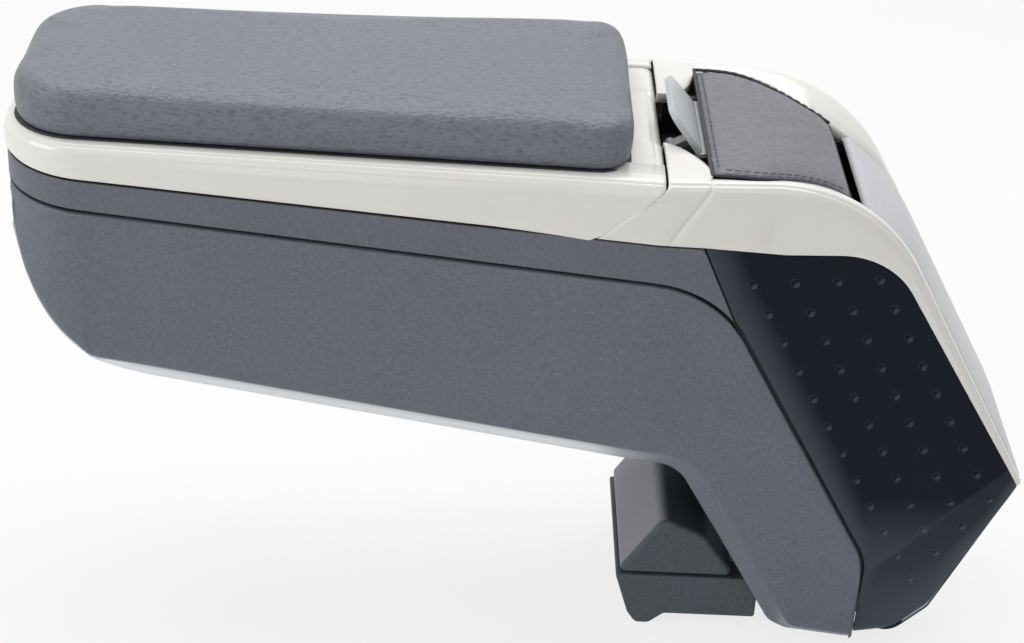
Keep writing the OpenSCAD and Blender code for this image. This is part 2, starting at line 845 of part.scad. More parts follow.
module leg_frame() {
    cheek = [[-eye_r, 0], [eye_r, 0], [shoe_pin_x + eye_r, shoe_pin_z], [frame_rear, frame_top * 0.77],
        [frame_rear, frame_top], [-frame_front, frame_top], [-frame_front, frame_top * 0.67]];
    slot = rod_w / 2 + fit;
    screw_edge = frame_screw_r + 1;
    screw_z = frame_top - 2 * frame_screw_r + 1;
    color("#6f7377")
    difference() {
        union() {
            along_leg() {
                for (side_y = [-1, 1])
                    translate([0, side_y * (frame_in + wall / 2), 0]) {
                        across(cheek, wall / 2);
                        bar(0, 0, eye_r, -wall / 2, wall / 2);
                    }
                difference() {
                    block([-frame_front, -frame_in, frame_top - wall], [frame_rear, frame_in, frame_top]);
                    block([rod_x - slot, -slot, 0], [rod_x + slot, slot, far]);
                }
            }
            intersection() {
                along_leg() for (x = [screw_edge - frame_front, frame_rear - screw_edge]) {
                    bar(x, screw_z, frame_screw_r, frame_in, far);
                    bar(x, screw_z, frame_screw_r, -far, -frame_in);
                }
                upright(rounded(inset(plan, wall)));
            }
        }
        along_leg() {
            bar(0, 0, bush_r, -far, far);
            bar(shoe_pin_x, shoe_pin_z, shoe_pin_r, -far, far);
        }
    }
}

module hub_bushes() {
    flange = bracket_out + 0.2;
    color("#b28a4a")
    along_leg() for (side_y = [-1, 1])
        difference() {
            union() {
                bar(0, 0, bush_r, side_y > 0 ? frame_in : -frame_out, side_y > 0 ? frame_out : -frame_in);
                bar(0, 0, bush_r + 2.5, side_y > 0 ? flange : -frame_in, side_y > 0 ? frame_in : -flange);
            }
            bar(0, 0, pin_r + run, -far, far);
        }
}

module shoe_pin() {
    color("#c4c7ca") along_leg() bar(shoe_pin_x, shoe_pin_z, shoe_pin_r, -frame_out, frame_out);
}

module push_rod() {
    foot_t = 4;
    foot_z = shoe_pin_z + 12;
    color("#9a9da1")
    along_leg() {
        block([rod_x - rod_w / 2, -rod_w / 2, foot_z], [rod_x + rod_w / 2, rod_w / 2, rod_top]);
        block([rod_x - rod_w / 2, -rod_w / 2, foot_z], [tail_x + 2, rod_w / 2, foot_z + foot_t]);
        block([tail_x - 2, -rod_w / 2, tail_z + play], [tail_x + 2, rod_w / 2, foot_z + foot_t]);
    }
}

// Shoe lever: an arm over the drum, an eye on its pin and a tail that the rod presses
module brake_shoe() {
    arm_r = drum_r + lining_gap + lining_t;
    tail = [[shoe_pin_x, shoe_pin_z - 3], [tail_x, tail_z - 5], [tail_x, tail_z],
        [shoe_pin_x, shoe_pin_z + 4]];
    arm = [[shoe_pin_x, shoe_pin_z - 6], [shoe_pin_x, shoe_pin_z + 5], [-9, arm_r + 6], [-14, arm_r - 2],
        [-8, arm_r - 8], [0, arm_r - 5], [8, arm_r - 8]];
    color("#7d8186")
    along_leg()
    difference() {
        union() {
            bar(shoe_pin_x, shoe_pin_z, 6, -shoe_half, shoe_half);
            across(tail, shoe_half);
            across(arm, shoe_half);
        }
        bar(0, 0, arm_r, -far, far);
        bar(shoe_pin_x, shoe_pin_z, shoe_pin_r + run, -far, far);
    }
}

module shoe_lining() {
    in_r = drum_r + lining_gap;
    out_r = in_r + lining_t;
    color("#5a4a3c")
    along_leg()
    difference() {
        intersection() {
            bar(0, 0, out_r, -shoe_half, shoe_half);
            across([[0, 0], [out_r * 0.8, out_r * 1.6], [-out_r * 0.9, out_r * 1.2]]);
        }
        bar(0, 0, in_r, -far, far);
    }
}

// Lid

module lid_frame() {
    color("#ece9de")
    difference() {
        union() {
            difference() {
                intersection() {
                    union() {
                        intersection() {
                            envelope(0);
                            block([-far, -far, 0], [far, far, top_z - ridge_drop]);
                        }
                        intersection() {
                            envelope(0);
                            upright(rounded(inset(plan, ridge_in)));
                        }
                    }
                    across([[-far, skirt_z(-far) + lid_gap],
                        [parting_x(parting_z) - lid_gap, parting_z + lid_gap],
                        [hinge_x, hinge_z - knuckle_r], [hinge_x, top_z], [-far, top_z]]);
                }
                intersection() {
                    envelope(wall);
                    across([[-far, 0], [parting_x(parting_z) - 8, 0], [parting_x(parting_z) - 8, parting_z],
                        [hinge_x - 7, hinge_z - 4], [hinge_x - 7, far], [-far, far]]);
                }
            }
            bar(hinge_x, hinge_z, knuckle_r, 8 - knee_half, knee_half - 8);
        }
        for (side_y = [-1, 1])
            translate([0, side_y * knuckle_y, 0]) {
                bar(hinge_x, hinge_z, knuckle_r + 0.5, -knuckle_w / 2 - fit, knuckle_w / 2 + fit);
                block([hinge_x - 0.01, -knuckle_w / 2 - fit, hinge_z - knuckle_r - 1],
                    [hinge_x + 20, knuckle_w / 2 + fit, far]);
            }
        for (side_y = [-1, 1])
            translate([0, side_y * knuckle_y, 0])
                bar(hinge_x, hinge_z, hinge_pin_r + run, -knuckle_w - 0.5, knuckle_w + 0.5);
    }
}

module lid_liner() {
    color("#2f3134")
    intersection() {
        envelope(wall);
        block([-far, -far, top_z - wall - 2], [hinge_x - 8, far, top_z - wall]);
    }
}

// Plan of the pad, d inside its widest outline
pad_plan = [[front_x + pad_margin / 2, -front_half + pad_margin, corner_r - pad_margin],
    [pad_rear_x, pad_margin + 0.5 - knee_half, 14], [pad_rear_x, knee_half - pad_margin - 0.5, 14],
    [front_x + pad_margin / 2, front_half - pad_margin, corner_r - pad_margin]];

// Distance of the board's edge from the pad's
board_in = 9;
module pad_board() {
    color("#6b5a44")
    translate([0, 0, top_z]) linear_extrude(height = board_t) polygon(rounded(inset(pad_plan, board_in)));
}

// Closed stack of rings joined by triangles
module rings(stack) {
    n = len(stack[0]);
    m = len(stack);
    polyhedron(points = [for (ring = stack) each ring],
        faces = concat([[for (i = [0:n - 1]) i]],
            [for (k = [0:m - 2], i = [0:n - 1]) each [
                [k * n + i, (k + 1) * n + i, (k + 1) * n + (i + 1) % n],
                [k * n + i, (k + 1) * n + (i + 1) % n, k * n + (i + 1) % n]]],
            [[for (i = [n - 1:-1:0]) (m - 1) * n + i]]));
}

module lid_pad() {
    // Inset of each ring and its height as a share of the pad's
    steps = [[2, 0], [0.6, 0.2], [0, 0.42], [0.8, 0.62], [3.4, 0.8], [8, 0.92], [14, 0.98], [24, 1]];
    color("#3c434c")
    difference() {
        rings([for (s = steps)
            [for (p = rounded(inset(pad_plan, s[0]))) [p[0], p[1], top_z + s[1] * pad_h]]]);
        translate([0, 0, top_z - 1]) linear_extrude(height = board_t + 1)
            polygon(rounded(inset(pad_plan, board_in)));
    }
}

// Catch and snap tongue at the front of the tub
latch_half = 8;
catch_len = 12;
module lid_catch() {
    z = skirt_z(front_x);
    color("#3a3c40")
    intersection() {
        envelope(wall + tub_clear + tub_wall);
        block([front_x, -latch_half, z - 12], [front_x + catch_len, latch_half, z - 6]);
    }
}

module lid_latch() {
    z = skirt_z(front_x);
    x = front_x + catch_len + 0.5;
    top = top_z - wall - 2;
    color("#3a3c40") {
        block([x, -latch_half, z - 14], [x + 2.5, latch_half, top]);
        block([x, -latch_half, top - 3], [x + 6.5, latch_half, top]);
    }
}

foot_lower_cover();
foot_upper_cover();
foot_bracket();
brake_drum();
pivot_pin();
pivot_circlip();
outer_shell();
storage_tub();
left_side_panel();
right_side_panel();
rear_trim();
knee_board();
knee_leather();
rear_cover();
pocket_liner();
lever_housing();
leg_frame();
hub_bushes();
lid_hinge_pins();
lid_catch();
lever_pin();
shoe_pin();
lid_frame();
lid_liner();
pad_board();
lid_pad();
lid_latch();
lever_paddle();
push_rod();
brake_shoe();
shoe_lining();
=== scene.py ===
# %% [markdown]
# A car centre armrest: a leather padded lid over a storage tub, on a leg that tilts on its foot.
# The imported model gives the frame. The moulded shells, leather and trim are drawn again here as smooth
# surfaces from the same sizes, because a moulding's soft edges are what catches the light.

# %% Frame and units
import json
import math
import bmesh
import bpy
import numpy as np
from mathutils import Matrix, Vector


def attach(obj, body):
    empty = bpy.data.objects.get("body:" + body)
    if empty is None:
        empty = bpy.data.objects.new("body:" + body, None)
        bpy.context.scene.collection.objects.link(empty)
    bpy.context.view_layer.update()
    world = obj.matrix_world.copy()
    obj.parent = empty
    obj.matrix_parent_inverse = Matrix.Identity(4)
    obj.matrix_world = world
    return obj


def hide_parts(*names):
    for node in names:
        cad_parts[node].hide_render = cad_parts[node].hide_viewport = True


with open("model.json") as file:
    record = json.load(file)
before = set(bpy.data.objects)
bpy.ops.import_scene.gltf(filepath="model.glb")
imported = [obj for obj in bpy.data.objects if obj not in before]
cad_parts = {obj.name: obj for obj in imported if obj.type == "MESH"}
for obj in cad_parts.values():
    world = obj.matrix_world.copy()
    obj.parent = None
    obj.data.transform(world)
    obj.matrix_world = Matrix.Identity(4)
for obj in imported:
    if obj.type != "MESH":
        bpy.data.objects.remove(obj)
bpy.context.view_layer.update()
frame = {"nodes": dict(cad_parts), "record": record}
MM = 0.001
scene = bpy.context.scene

# %% [markdown]
# The body's silhouette and every seam between the mouldings is a line in the side view. Real mouldings blend
# their straight stretches with arcs, so each line is written as corners with a radius, and then cut into even
# steps. Even steps matter: points that crowd together show up as ripples in a glossy surface.

# %% Tools for lines
def rounded(corners, steps=60):
    """Outline with round corners: each corner [x, z, radius] becomes an arc tangent to both sides."""
    points = []
    count = len(corners)
    for i, (x, z, radius) in enumerate(corners):
        p = np.array([x, z], float)
        a = np.array(corners[i - 1][:2], float) - p
        b = np.array(corners[(i + 1) % count][:2], float) - p
        if radius < 0.05:
            points.append(p[None])
            continue
        u, v = a / np.linalg.norm(a), b / np.linalg.norm(b)
        half_angle = math.acos(np.clip(u @ v, -1, 1)) / 2
        centre = p + (u + v) / np.linalg.norm(u + v) * radius / math.sin(half_angle)
        start = p + u * radius / math.tan(half_angle) - centre
        end = p + v * radius / math.tan(half_angle) - centre
        sweep = math.atan2(start[0] * end[1] - start[1] * end[0], start @ end)
        t = np.linspace(0, sweep, steps + 1)
        points.append(centre + np.stack([start[0] * np.cos(t) - start[1] * np.sin(t),
                                         start[0] * np.sin(t) + start[1] * np.cos(t)], 1))
    return np.concatenate(points)


def lengths(line):
    """Distance of each point from the start, measured along the line."""
    return np.concatenate([[0], np.cumsum(np.linalg.norm(np.diff(line, axis=0), axis=1))])


def resample(line, step):
    """Points along a polyline at even distances of about one step."""
    length = lengths(line)
    keep = np.concatenate([[True], np.diff(length) > 1e-9])
    s = np.linspace(0, length[-1], max(2, int(length[-1] / step) + 1))
    return np.stack([np.interp(s, length[keep], line[keep, k]) for k in range(line.shape[1])], 1)


def normals(line, closed=False):
    """Unit vectors to the left of a line: its direction turned by a quarter turn."""
    if closed:
        direction = np.roll(line, -1, 0) - np.roll(line, 1, 0)
    else:
        direction = np.gradient(line, axis=0)
    left = np.stack([-direction[:, 1], direction[:, 0]], 1)
    return left / np.linalg.norm(left, axis=1, keepdims=True)


def shifted(line, distance):
    """The line moved to its left by a distance."""
    return line + normals(line) * distance


def on(line):
    """Height of a line as a function of x."""
    return lambda x: np.interp(x, line[:, 0], line[:, 1])


def slope_of(height, x, reach=0.8):
    """Slope of a height function, averaged over a short reach so that it changes smoothly."""
    return (height(x + reach) - height(x - reach)) / (2 * reach)


def stations(start, end, step, *lines):
    """Places x between start and end, so spaced that no line moves by more than about one step between two."""
    x = np.unique(np.concatenate([[start, end]] + [line[:, 0] for line in lines]))
    x = x[(x >= start) & (x <= end)]
    moved = np.diff(x) + sum(np.abs(np.diff(np.interp(x, line[:, 0], line[:, 1]))) for line in lines)
    total = np.concatenate([[0], np.cumsum(moved)])
    return np.interp(np.linspace(0, total[-1], int(total[-1] / step) + 1), total, x)


quarter_turn = rounded([[0, 0, 0], [40, 0, 20], [40, 40, 0]])[1:-1]
print("a quarter turn of radius 20 in", len(resample(quarter_turn, 0.5)), "steps")

# %% Sizes, the model's own in millimetres
front_x, knee_x, tip_x, tip_z = -265.5, -26.0, 124.0, 76.0
top_z, heel_z, wall = 204.0, 2.0, 3.0
front_half, knee_half, rear_half, corner_r = 48.0, 58.0, 44.0, 32.0
part_x, leather_x, leather_end_x, mouth = -25.5, -9.4, 45.5, 5.5
seam_x, seam_foot_x, leg_front_x = 66.0, 89.6, 36.9
ridge_in, ridge_drop, rail = 2.4, 2.0, 3.4
knee_r, saddle_r = 66.0, 95.0
half_seam, bevel_in, bevel_up = 0.85, 6.0, 8.0
TAN = math.tan(math.radians(60))


def under(x):
    """Height of the arm's underside before its corners are rounded."""
    return 81.3 - x * math.tan(math.radians(7.3))


def skirt(x):
    """Height of the cream skirt's lower edge."""
    return 178 - x * math.tan(math.radians(3))


def gap_line(x):
    """Height of the dark gap along the arm."""
    return 161.5 - x * math.tan(math.radians(4))


def diagonal(x):
    """Sloping rear edge of the tub's rim, where the side panel begins."""
    return skirt(-10) + (x + 10) * (120 - skirt(-10)) / 27


# %% Lines of the side view
crook_x = (leg_front_x - 81.3 / TAN) / (1 - math.tan(math.radians(7.3)) / TAN)
bend_x = (seam_foot_x - 161.5 / TAN) / (1 - math.tan(math.radians(4)) / TAN)
rear_corner_x = tip_x - (top_z - tip_z) / TAN
bottom_line = resample(rounded([[front_x, top_z, 0], [front_x + 6.5, under(front_x + 6.5), 62],
                                [crook_x, under(crook_x), 20], [leg_front_x - 7.5 / TAN, 7.5, 4],
                                [seam_x, heel_z, 15], [tip_x - 41, heel_z + 1, 12], [tip_x - 28, tip_z - 61, 8],
                                [tip_x, tip_z, 0], [tip_x, tip_z + 100, 0]])[:-1], 0.5)
ridge_line = resample(rounded([[front_x, top_z, 0], [rear_corner_x, top_z, knee_r], [tip_x, tip_z, 0],
                               [tip_x, -100, 0]])[:-1], 0.5)
saddle_line = resample(rounded([[front_x, top_z, 0], [rear_corner_x, top_z, saddle_r], [tip_x, tip_z, 0],
                                [tip_x, -100, 0]])[:-1], 0.5)
gap_curve = resample(rounded([[front_x - 5, gap_line(front_x - 5), 0], [bend_x, gap_line(bend_x), 47],
                              [seam_x, (seam_foot_x - seam_x) * TAN, 25], [seam_x + 0.02, -20, 0]]), 0.5)
trim_bend_x = tip_x - (176 - tip_z) / TAN - 7.5
trim_curve = resample(rounded([[part_x - 30, skirt(part_x - 30), 0], [-10, skirt(-10), 20], [20, 176, 20],
                               [trim_bend_x, 176, 34], [tip_x - 1, tip_z - 2, 0], [tip_x, 0, 0]])[:-1], 0.5)
bevel_line = resample(rounded([[front_x - 1, under(front_x - 1) + 8.07, 0], [-5.9, 90.1, 28], [40.4, 10, 6],
                               [seam_x + 2, 5, 0], [seam_x + 2, -50, 0]])[:-1], 0.5)
z_ridge, z_saddle, z_bottom, z_trim, z_bevel = (
    on(line) for line in (ridge_line, saddle_line, bottom_line, trim_curve, bevel_line))
shell_edge, panel_edge = shifted(gap_curve, -half_seam), shifted(gap_curve, half_seam)
z_shell, z_panel = on(shell_edge), on(panel_edge)
print("crook at x", round(crook_x, 1), "seam's bend at x", round(bend_x, 1))

# %% Widths, seen from above
plan_corner = rounded([[knee_x, 0, 0], [front_x, 0, 0], [front_x, front_half, corner_r],
                       [knee_x, knee_half, 0]])[2:-1]


def half(x):
    """Half width at x: the arm's flaring side and the leg's narrowing one meet in a soft bend, and the front
    corner is an arc."""
    x = np.asarray(x, float)
    arm = front_half + (knee_half - front_half) * (x - front_x) / (knee_x - front_x)
    leg = knee_half - (knee_half - rear_half) * (x - knee_x) / (tip_x + 30 - knee_x)
    side = (arm + leg - np.sqrt((arm - leg) ** 2 + 0.04)) / 2
    corner = np.interp(x, plan_corner[:, 0], plan_corner[:, 1])
    return np.where(x < plan_corner[-1, 0], corner, side)


window_line = resample(rounded([[-60, 49, 0], [8.5, 48, 30], [39.5, 34, 40], [60.5, 35, 30], [80.5, 44.8, 20],
                                [tip_x + 30, rear_half - rail, 0], [tip_x + 30, 0, 0]])[:-1], 0.5)
window = on(window_line)
print("widest", round(float(half(knee_x)) * 2, 1), "leather at the pocket", round(float(window(45)) * 2, 1))

# %% [markdown]
# Two tools make nearly every surface. The first softens a section: it swaps each corner of a polyline for a
# short curve, for all stations at once. The second turns a grid of points into a mesh.

# %% Section tools
def xyz(x, y, z):
    """Joins three arrays of coordinates, stretched to one shape, into points."""
    return np.stack(np.broadcast_arrays(np.asarray(x, float), y, z), -1)


def soften(corners, radii, steps=5):
    """Each inner corner V becomes the curve (1-q)^2 A + 2q(1-q) V + q^2 C, with A and C on its two sides one
    radius away. corners is (stations, corners, 3)."""
    parts = [corners[:, :1]]
    q = np.linspace(0, 1, steps + 1)[None, :, None]
    for k in range(1, corners.shape[1] - 1):
        v = corners[:, k]
        ends = []
        for other in (corners[:, k - 1], corners[:, k + 1]):
            d = other - v
            length = np.linalg.norm(d, axis=1, keepdims=True) + 1e-9
            ends.append(v + d / length * np.minimum(np.reshape(radii[k - 1], (-1, 1)), length * 0.48))
        a, c = ends
        parts.append((1 - q) ** 2 * a[:, None] + 2 * q * (1 - q) * v[:, None] + q ** 2 * c[:, None])
    parts.append(corners[:, -1:])
    return np.concatenate(parts, 1)


def fill(section, first, count):
    """Puts evenly spaced points on the straight stretch after column first of a section."""
    t = np.linspace(0, 1, count + 2)[None, 1:-1, None]
    extra = section[:, first, None] * (1 - t) + section[:, first + 1, None] * t
    return np.concatenate([section[:, :first + 1], extra, section[:, first + 1:]], 1)


def mirror(section):
    """A half section from the centre outwards becomes a whole one."""
    other = section[:, ::-1] * np.array([1, -1, 1.0])
    return np.concatenate([other[:, :-1], section], 1)


# %% Mesh tools
def grid(name, points, material, body, flip=False, ring=False, cap=False, weld=False, painted_tone=None):
    """Mesh of quads over a grid of points in millimetres. ring joins the last column to the first, cap closes
    both ends with a flat face, and weld merges points that lie on each other. The last argument gives each
    point a share of painted light: how much of the material's second, lighter colour it shows."""
    rows, columns = points.shape[:2]
    i = np.arange(rows - 1)[:, None] * columns
    j = np.arange(columns if ring else columns - 1)[None]
    k = (j + 1) % columns
    quads = np.stack([i + j, i + k, i + columns + k, i + columns + j], -1).reshape(-1, 4)
    faces = (quads[:, ::-1] if flip else quads).tolist()
    if cap:
        low, high = list(range(columns)), list(range((rows - 1) * columns, rows * columns))
        faces += [low if flip else low[::-1], high[::-1] if flip else high]
    mesh = bpy.data.meshes.new(name)
    mesh.from_pydata((points.reshape(-1, 3) * MM).tolist(), [], faces)
    loops = np.empty(len(mesh.loops), int)
    mesh.loops.foreach_get("vertex_index", loops)
    widths, steps = (np.linalg.norm(np.diff(points, axis=k), axis=2) for k in (1, 0))
    across = np.concatenate([np.zeros((rows, 1)), np.cumsum(widths, 1)], 1)
    along = np.concatenate([np.zeros((1, columns)), np.cumsum(steps, 0)], 0)
    flat = np.stack([along.reshape(-1), across.reshape(-1)], 1) * MM
    mesh.uv_layers.new(name="UVMap").data.foreach_set("uv", flat[loops].reshape(-1))
    smooth = np.ones(len(mesh.polygons), bool)
    smooth[len(quads):] = False
    mesh.polygons.foreach_set("use_smooth", smooth)
    # Share of painted light for each point, kept as a point attribute that the material reads.
    if painted_tone is not None:
        values = mesh.attributes.new("painted_light_share", "FLOAT", "POINT").data
        values.foreach_set("value", painted_tone.reshape(-1).astype(float))
    if weld:
        work = bmesh.new()
        work.from_mesh(mesh)
        bmesh.ops.remove_doubles(work, verts=work.verts, dist=2e-5)
        if work.calc_volume(signed=True) < 0:
            bmesh.ops.reverse_faces(work, faces=work.faces)
        work.to_mesh(mesh)
        work.free()
    obj = bpy.data.objects.new(name, mesh)
    scene.collection.objects.link(obj)
    mesh.materials.append(material)
    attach(obj, body)
    return obj


def thicken(obj, depth):
    """Gives a moulded skin its wall, on the inside."""
    solid = obj.modifiers.new("wall", "SOLIDIFY")
    solid.thickness, solid.offset, solid.use_even_offset = depth * MM, -1, True
    solid.thickness_clamp = 1
    return obj


def cut_away(obj, inside):
    """Deletes the faces whose corners are all marked."""
    mesh = bmesh.new()
    mesh.from_mesh(obj.data)
    marked = inside.reshape(-1)
    gone = [f for f in mesh.faces if all(marked[v.index] for v in f.verts)]
    bmesh.ops.delete(mesh, geom=gone, context="FACES")
    mesh.to_mesh(obj.data)
    mesh.free()


# %% [markdown]
# Materials are mixes of a base colour, a roughness and a fine bump. Moulded plastics differ by the size and
# depth of their grain, leather by its cells and creases. All of them read Object coordinates, so that the
# grain has its true size on every piece.

# %% Material tools
def node_material(name, colour, roughness, **sockets):
    """Material with the constant values set on the shader's own sockets."""
    material = bpy.data.materials.new(name)
    material.use_nodes = True
    shader = material.node_tree.nodes["Principled BSDF"]
    shader.inputs["Base Color"].default_value = (*colour, 1)
    shader.inputs["Roughness"].default_value = roughness
    for socket, value in sockets.items():
        shader.inputs[socket.replace("_", " ")].default_value = value
    return material, material.node_tree, shader


def link(tree, a, out, b, socket):
    """Joins an output of node a to an input of node b."""
    tree.links.new(a.outputs[out], b.inputs[socket])


def place_nodes(tree, scale=(1, 1, 1)):
    """Object coordinates, stretched by a scale along each axis."""
    coords = tree.nodes.new("ShaderNodeTexCoord")
    mapping = tree.nodes.new("ShaderNodeMapping")
    mapping.inputs["Scale"].default_value = scale
    link(tree, coords, "Object", mapping, "Vector")
    return mapping


def noise(tree, where, scale, detail=3.0, rough=0.5):
    """Noise whose features are about 1 / scale metres wide."""
    node = tree.nodes.new("ShaderNodeTexNoise")
    node.inputs["Scale"].default_value = scale
    node.inputs["Detail"].default_value = detail
    node.inputs["Roughness"].default_value = rough
    link(tree, where, "Vector", node, "Vector")
    return node


def ramp(tree, source, out, low, high, colours):
    """Colour ramp between two positions."""
    node = tree.nodes.new("ShaderNodeValToRGB")
    node.color_ramp.elements[0].position, node.color_ramp.elements[1].position = low, high
    node.color_ramp.elements[0].color, node.color_ramp.elements[1].color = (*colours[0], 1), (*colours[1], 1)
    link(tree, source, out, node, "Fac")
    return node


def spread_of(colour, share):
    """A slightly darker and a slightly lighter version of a colour."""
    return tuple(c * (1 - share) for c in colour), tuple(min(1.0, c * (1 + share)) for c in colour)


def bump(tree, shader, source, out, strength, distance, under_bump=None):
    """Relief of a given height in metres, on top of another one where under_bump is given."""
    node = tree.nodes.new("ShaderNodeBump")
    node.inputs["Strength"].default_value = strength
    node.inputs["Distance"].default_value = distance
    link(tree, source, out, node, "Height")
    if under_bump:
        link(tree, under_bump, "Normal", node, "Normal")
    link(tree, node, "Normal", shader, "Normal")
    return node


# %% Plastic and metal
def plastic(name, colour, roughness, grain=2500.0, depth=0.00004, spread=0.06, speck=0.0, **sockets):
    """Moulded plastic: a fine grain in the bump, a slight cloudiness and, where speck is set, the salt and
    pepper of a sparked mould in the colour."""
    material, tree, shader = node_material(name, colour, roughness, **sockets)
    where = place_nodes(tree)
    tint = ramp(tree, noise(tree, where, 22, 4), "Fac", 0.3, 0.7, spread_of(colour, spread))
    fine = noise(tree, where, grain, 2)
    if speck:
        dots = ramp(tree, noise(tree, where, grain * 0.55, 2, 0.7), "Fac", 0.32, 0.68,
                    ((1 - speck,) * 3, (1 + speck,) * 3))
        mixed = tree.nodes.new("ShaderNodeMix")
        mixed.data_type, mixed.blend_type = "RGBA", "MULTIPLY"
        mixed.inputs[0].default_value = 1.0
        tree.links.new(tint.outputs["Color"], mixed.inputs[6])
        tree.links.new(dots.outputs["Color"], mixed.inputs[7])
        tree.links.new(mixed.outputs[2], shader.inputs["Base Color"])
    else:
        link(tree, tint, "Color", shader, "Base Color")
    bump(tree, shader, fine, "Fac", 0.5, depth)
    return material


def metal(name, colour, roughness, stretch=(1, 30, 1)):
    """Bare or plated steel: brushed by a noise stretched along one axis."""
    material, tree, shader = node_material(name, colour, roughness, Metallic=1.0)
    brushed = noise(tree, place_nodes(tree, stretch), 60, 5)
    tint = ramp(tree, brushed, "Fac", 0.3, 0.7, (tuple(c * 0.85 for c in colour), colour))
    link(tree, tint, "Color", shader, "Base Color")
    bump(tree, shader, brushed, "Fac", 0.2, 0.00005)
    return material


def blend_painted_light(material, colour):
    """Blends a second, lighter colour over a plastic where the piece's share of painted light says so: painted
    highlights, sheen and reflection.
    """
    tree = material.node_tree
    shader = tree.nodes["Principled BSDF"]
    base = shader.inputs["Base Color"].links[0].from_socket
    attribute = tree.nodes.new("ShaderNodeAttribute")
    attribute.attribute_name = "painted_light_share"
    mixed = tree.nodes.new("ShaderNodeMix")
    mixed.data_type = "RGBA"
    mixed.inputs[7].default_value = (*colour, 1)
    tree.links.new(attribute.outputs["Fac"], mixed.inputs[0])
    tree.links.new(base, mixed.inputs[6])
    tree.links.new(mixed.outputs[2], shader.inputs["Base Color"])
    return material


# %% Leather
def leather(name, colour, roughness, cells=620.0, crease=0.9, **sockets):
    """Coated leather: long wavy creases along the car, crossed by fine pebbles. The creases are a stretched
    noise, the pebbles a cell pattern pushed about by another noise, and the colour is darker in the creases'
    hollows: painted shade."""
    material, tree, shader = node_material(name, colour, roughness, **sockets)
    where = place_nodes(tree, (0.5, 1.0, 1.0))
    warp = noise(tree, where, 240, 3)
    pushed = tree.nodes.new("ShaderNodeVectorMath")
    pushed.operation = "MULTIPLY_ADD"
    pushed.inputs[1].default_value = (0.004, 0.004, 0.004)
    link(tree, warp, "Color", pushed, 0)
    link(tree, where, "Vector", pushed, 2)
    cell = tree.nodes.new("ShaderNodeTexVoronoi")
    cell.feature = "DISTANCE_TO_EDGE"
    cell.inputs["Scale"].default_value = cells
    link(tree, pushed, "Vector", cell, "Vector")
    pebble = ramp(tree, cell, "Distance", 0.0, 0.25, ((0, 0, 0), (1, 1, 1)))
    folds = noise(tree, place_nodes(tree, (0.42, 1.0, 1.0)), 850, 3, 0.6)
    first = bump(tree, shader, pebble, "Color", 0.5, 0.00018)
    bump(tree, shader, folds, "Fac", crease, 0.00045, first)
    cloud = ramp(tree, noise(tree, where, 30, 4), "Fac", 0.3, 0.7, spread_of(colour, 0.03))
    # Painted shade: the colour is darker in the creases' hollows.
    dark = ramp(tree, folds, "Fac", 0.32, 0.52, ((0.66, 0.67, 0.7), (1.05, 1.05, 1.05)))
    mixed = tree.nodes.new("ShaderNodeMix")
    mixed.data_type, mixed.blend_type = "RGBA", "MULTIPLY"
    mixed.inputs[0].default_value = 1.0
    tree.links.new(cloud.outputs["Color"], mixed.inputs[6])
    tree.links.new(dark.outputs["Color"], mixed.inputs[7])
    tree.links.new(mixed.outputs[2], shader.inputs["Base Color"])
    return material


# %% The armrest's own finishes
cream = plastic("cream gloss", (0.78, 0.765, 0.72), 0.2, 900, 0.000003, 0.008,
                Coat_Weight=0.5, Coat_Roughness=0.06)
# The second colour of the shell, the panel and the foot is painted light: a painted reflection on the shell's
# bevel, painted sheen and highlights on the side panels, a painted highlight on the foot's front slope.
grey_shell = blend_painted_light(plastic("grey grained plastic", (0.116, 0.131, 0.164), 0.5, 1500, 0.00008, 0.03, 0.16),
                      (0.84, 0.87, 0.9))
rim_grey = plastic("tub grey", (0.112, 0.126, 0.146), 0.5, 1500, 0.00008, 0.04, 0.14)
panel_black = blend_painted_light(plastic("panel blue black", (0.0045, 0.008, 0.015), 0.36, 2200, 0.00003, 0.06, 0.1,
                               Specular_IOR_Level=0.1), (0.1, 0.125, 0.15))
foot_grey = blend_painted_light(plastic("foot grained plastic", (0.055, 0.07, 0.082), 0.55, 1100, 0.0002, 0.05, 0.18),
                     (0.24, 0.25, 0.28))
cover_grey = plastic("rear cover grey", (0.5, 0.515, 0.54), 0.34, 2000, 0.00005, 0.03, 0.08)
lever_grey = plastic("lever grey", (0.55, 0.57, 0.59), 0.3, 2000, 0.00002, 0.03)
black = plastic("black plastic", (0.006, 0.006, 0.007), 0.6)
felt = plastic("pocket felt", (0.008, 0.008, 0.009), 0.9, 900, 0.0003)
board = plastic("hardboard", (0.3, 0.22, 0.15), 0.8, 500, 0.0002, 0.2)
pad_leather = leather("pad leather", (0.14, 0.152, 0.18), 0.4)
knee_hide = leather("knee leather", (0.155, 0.16, 0.178), 0.46, 560.0)
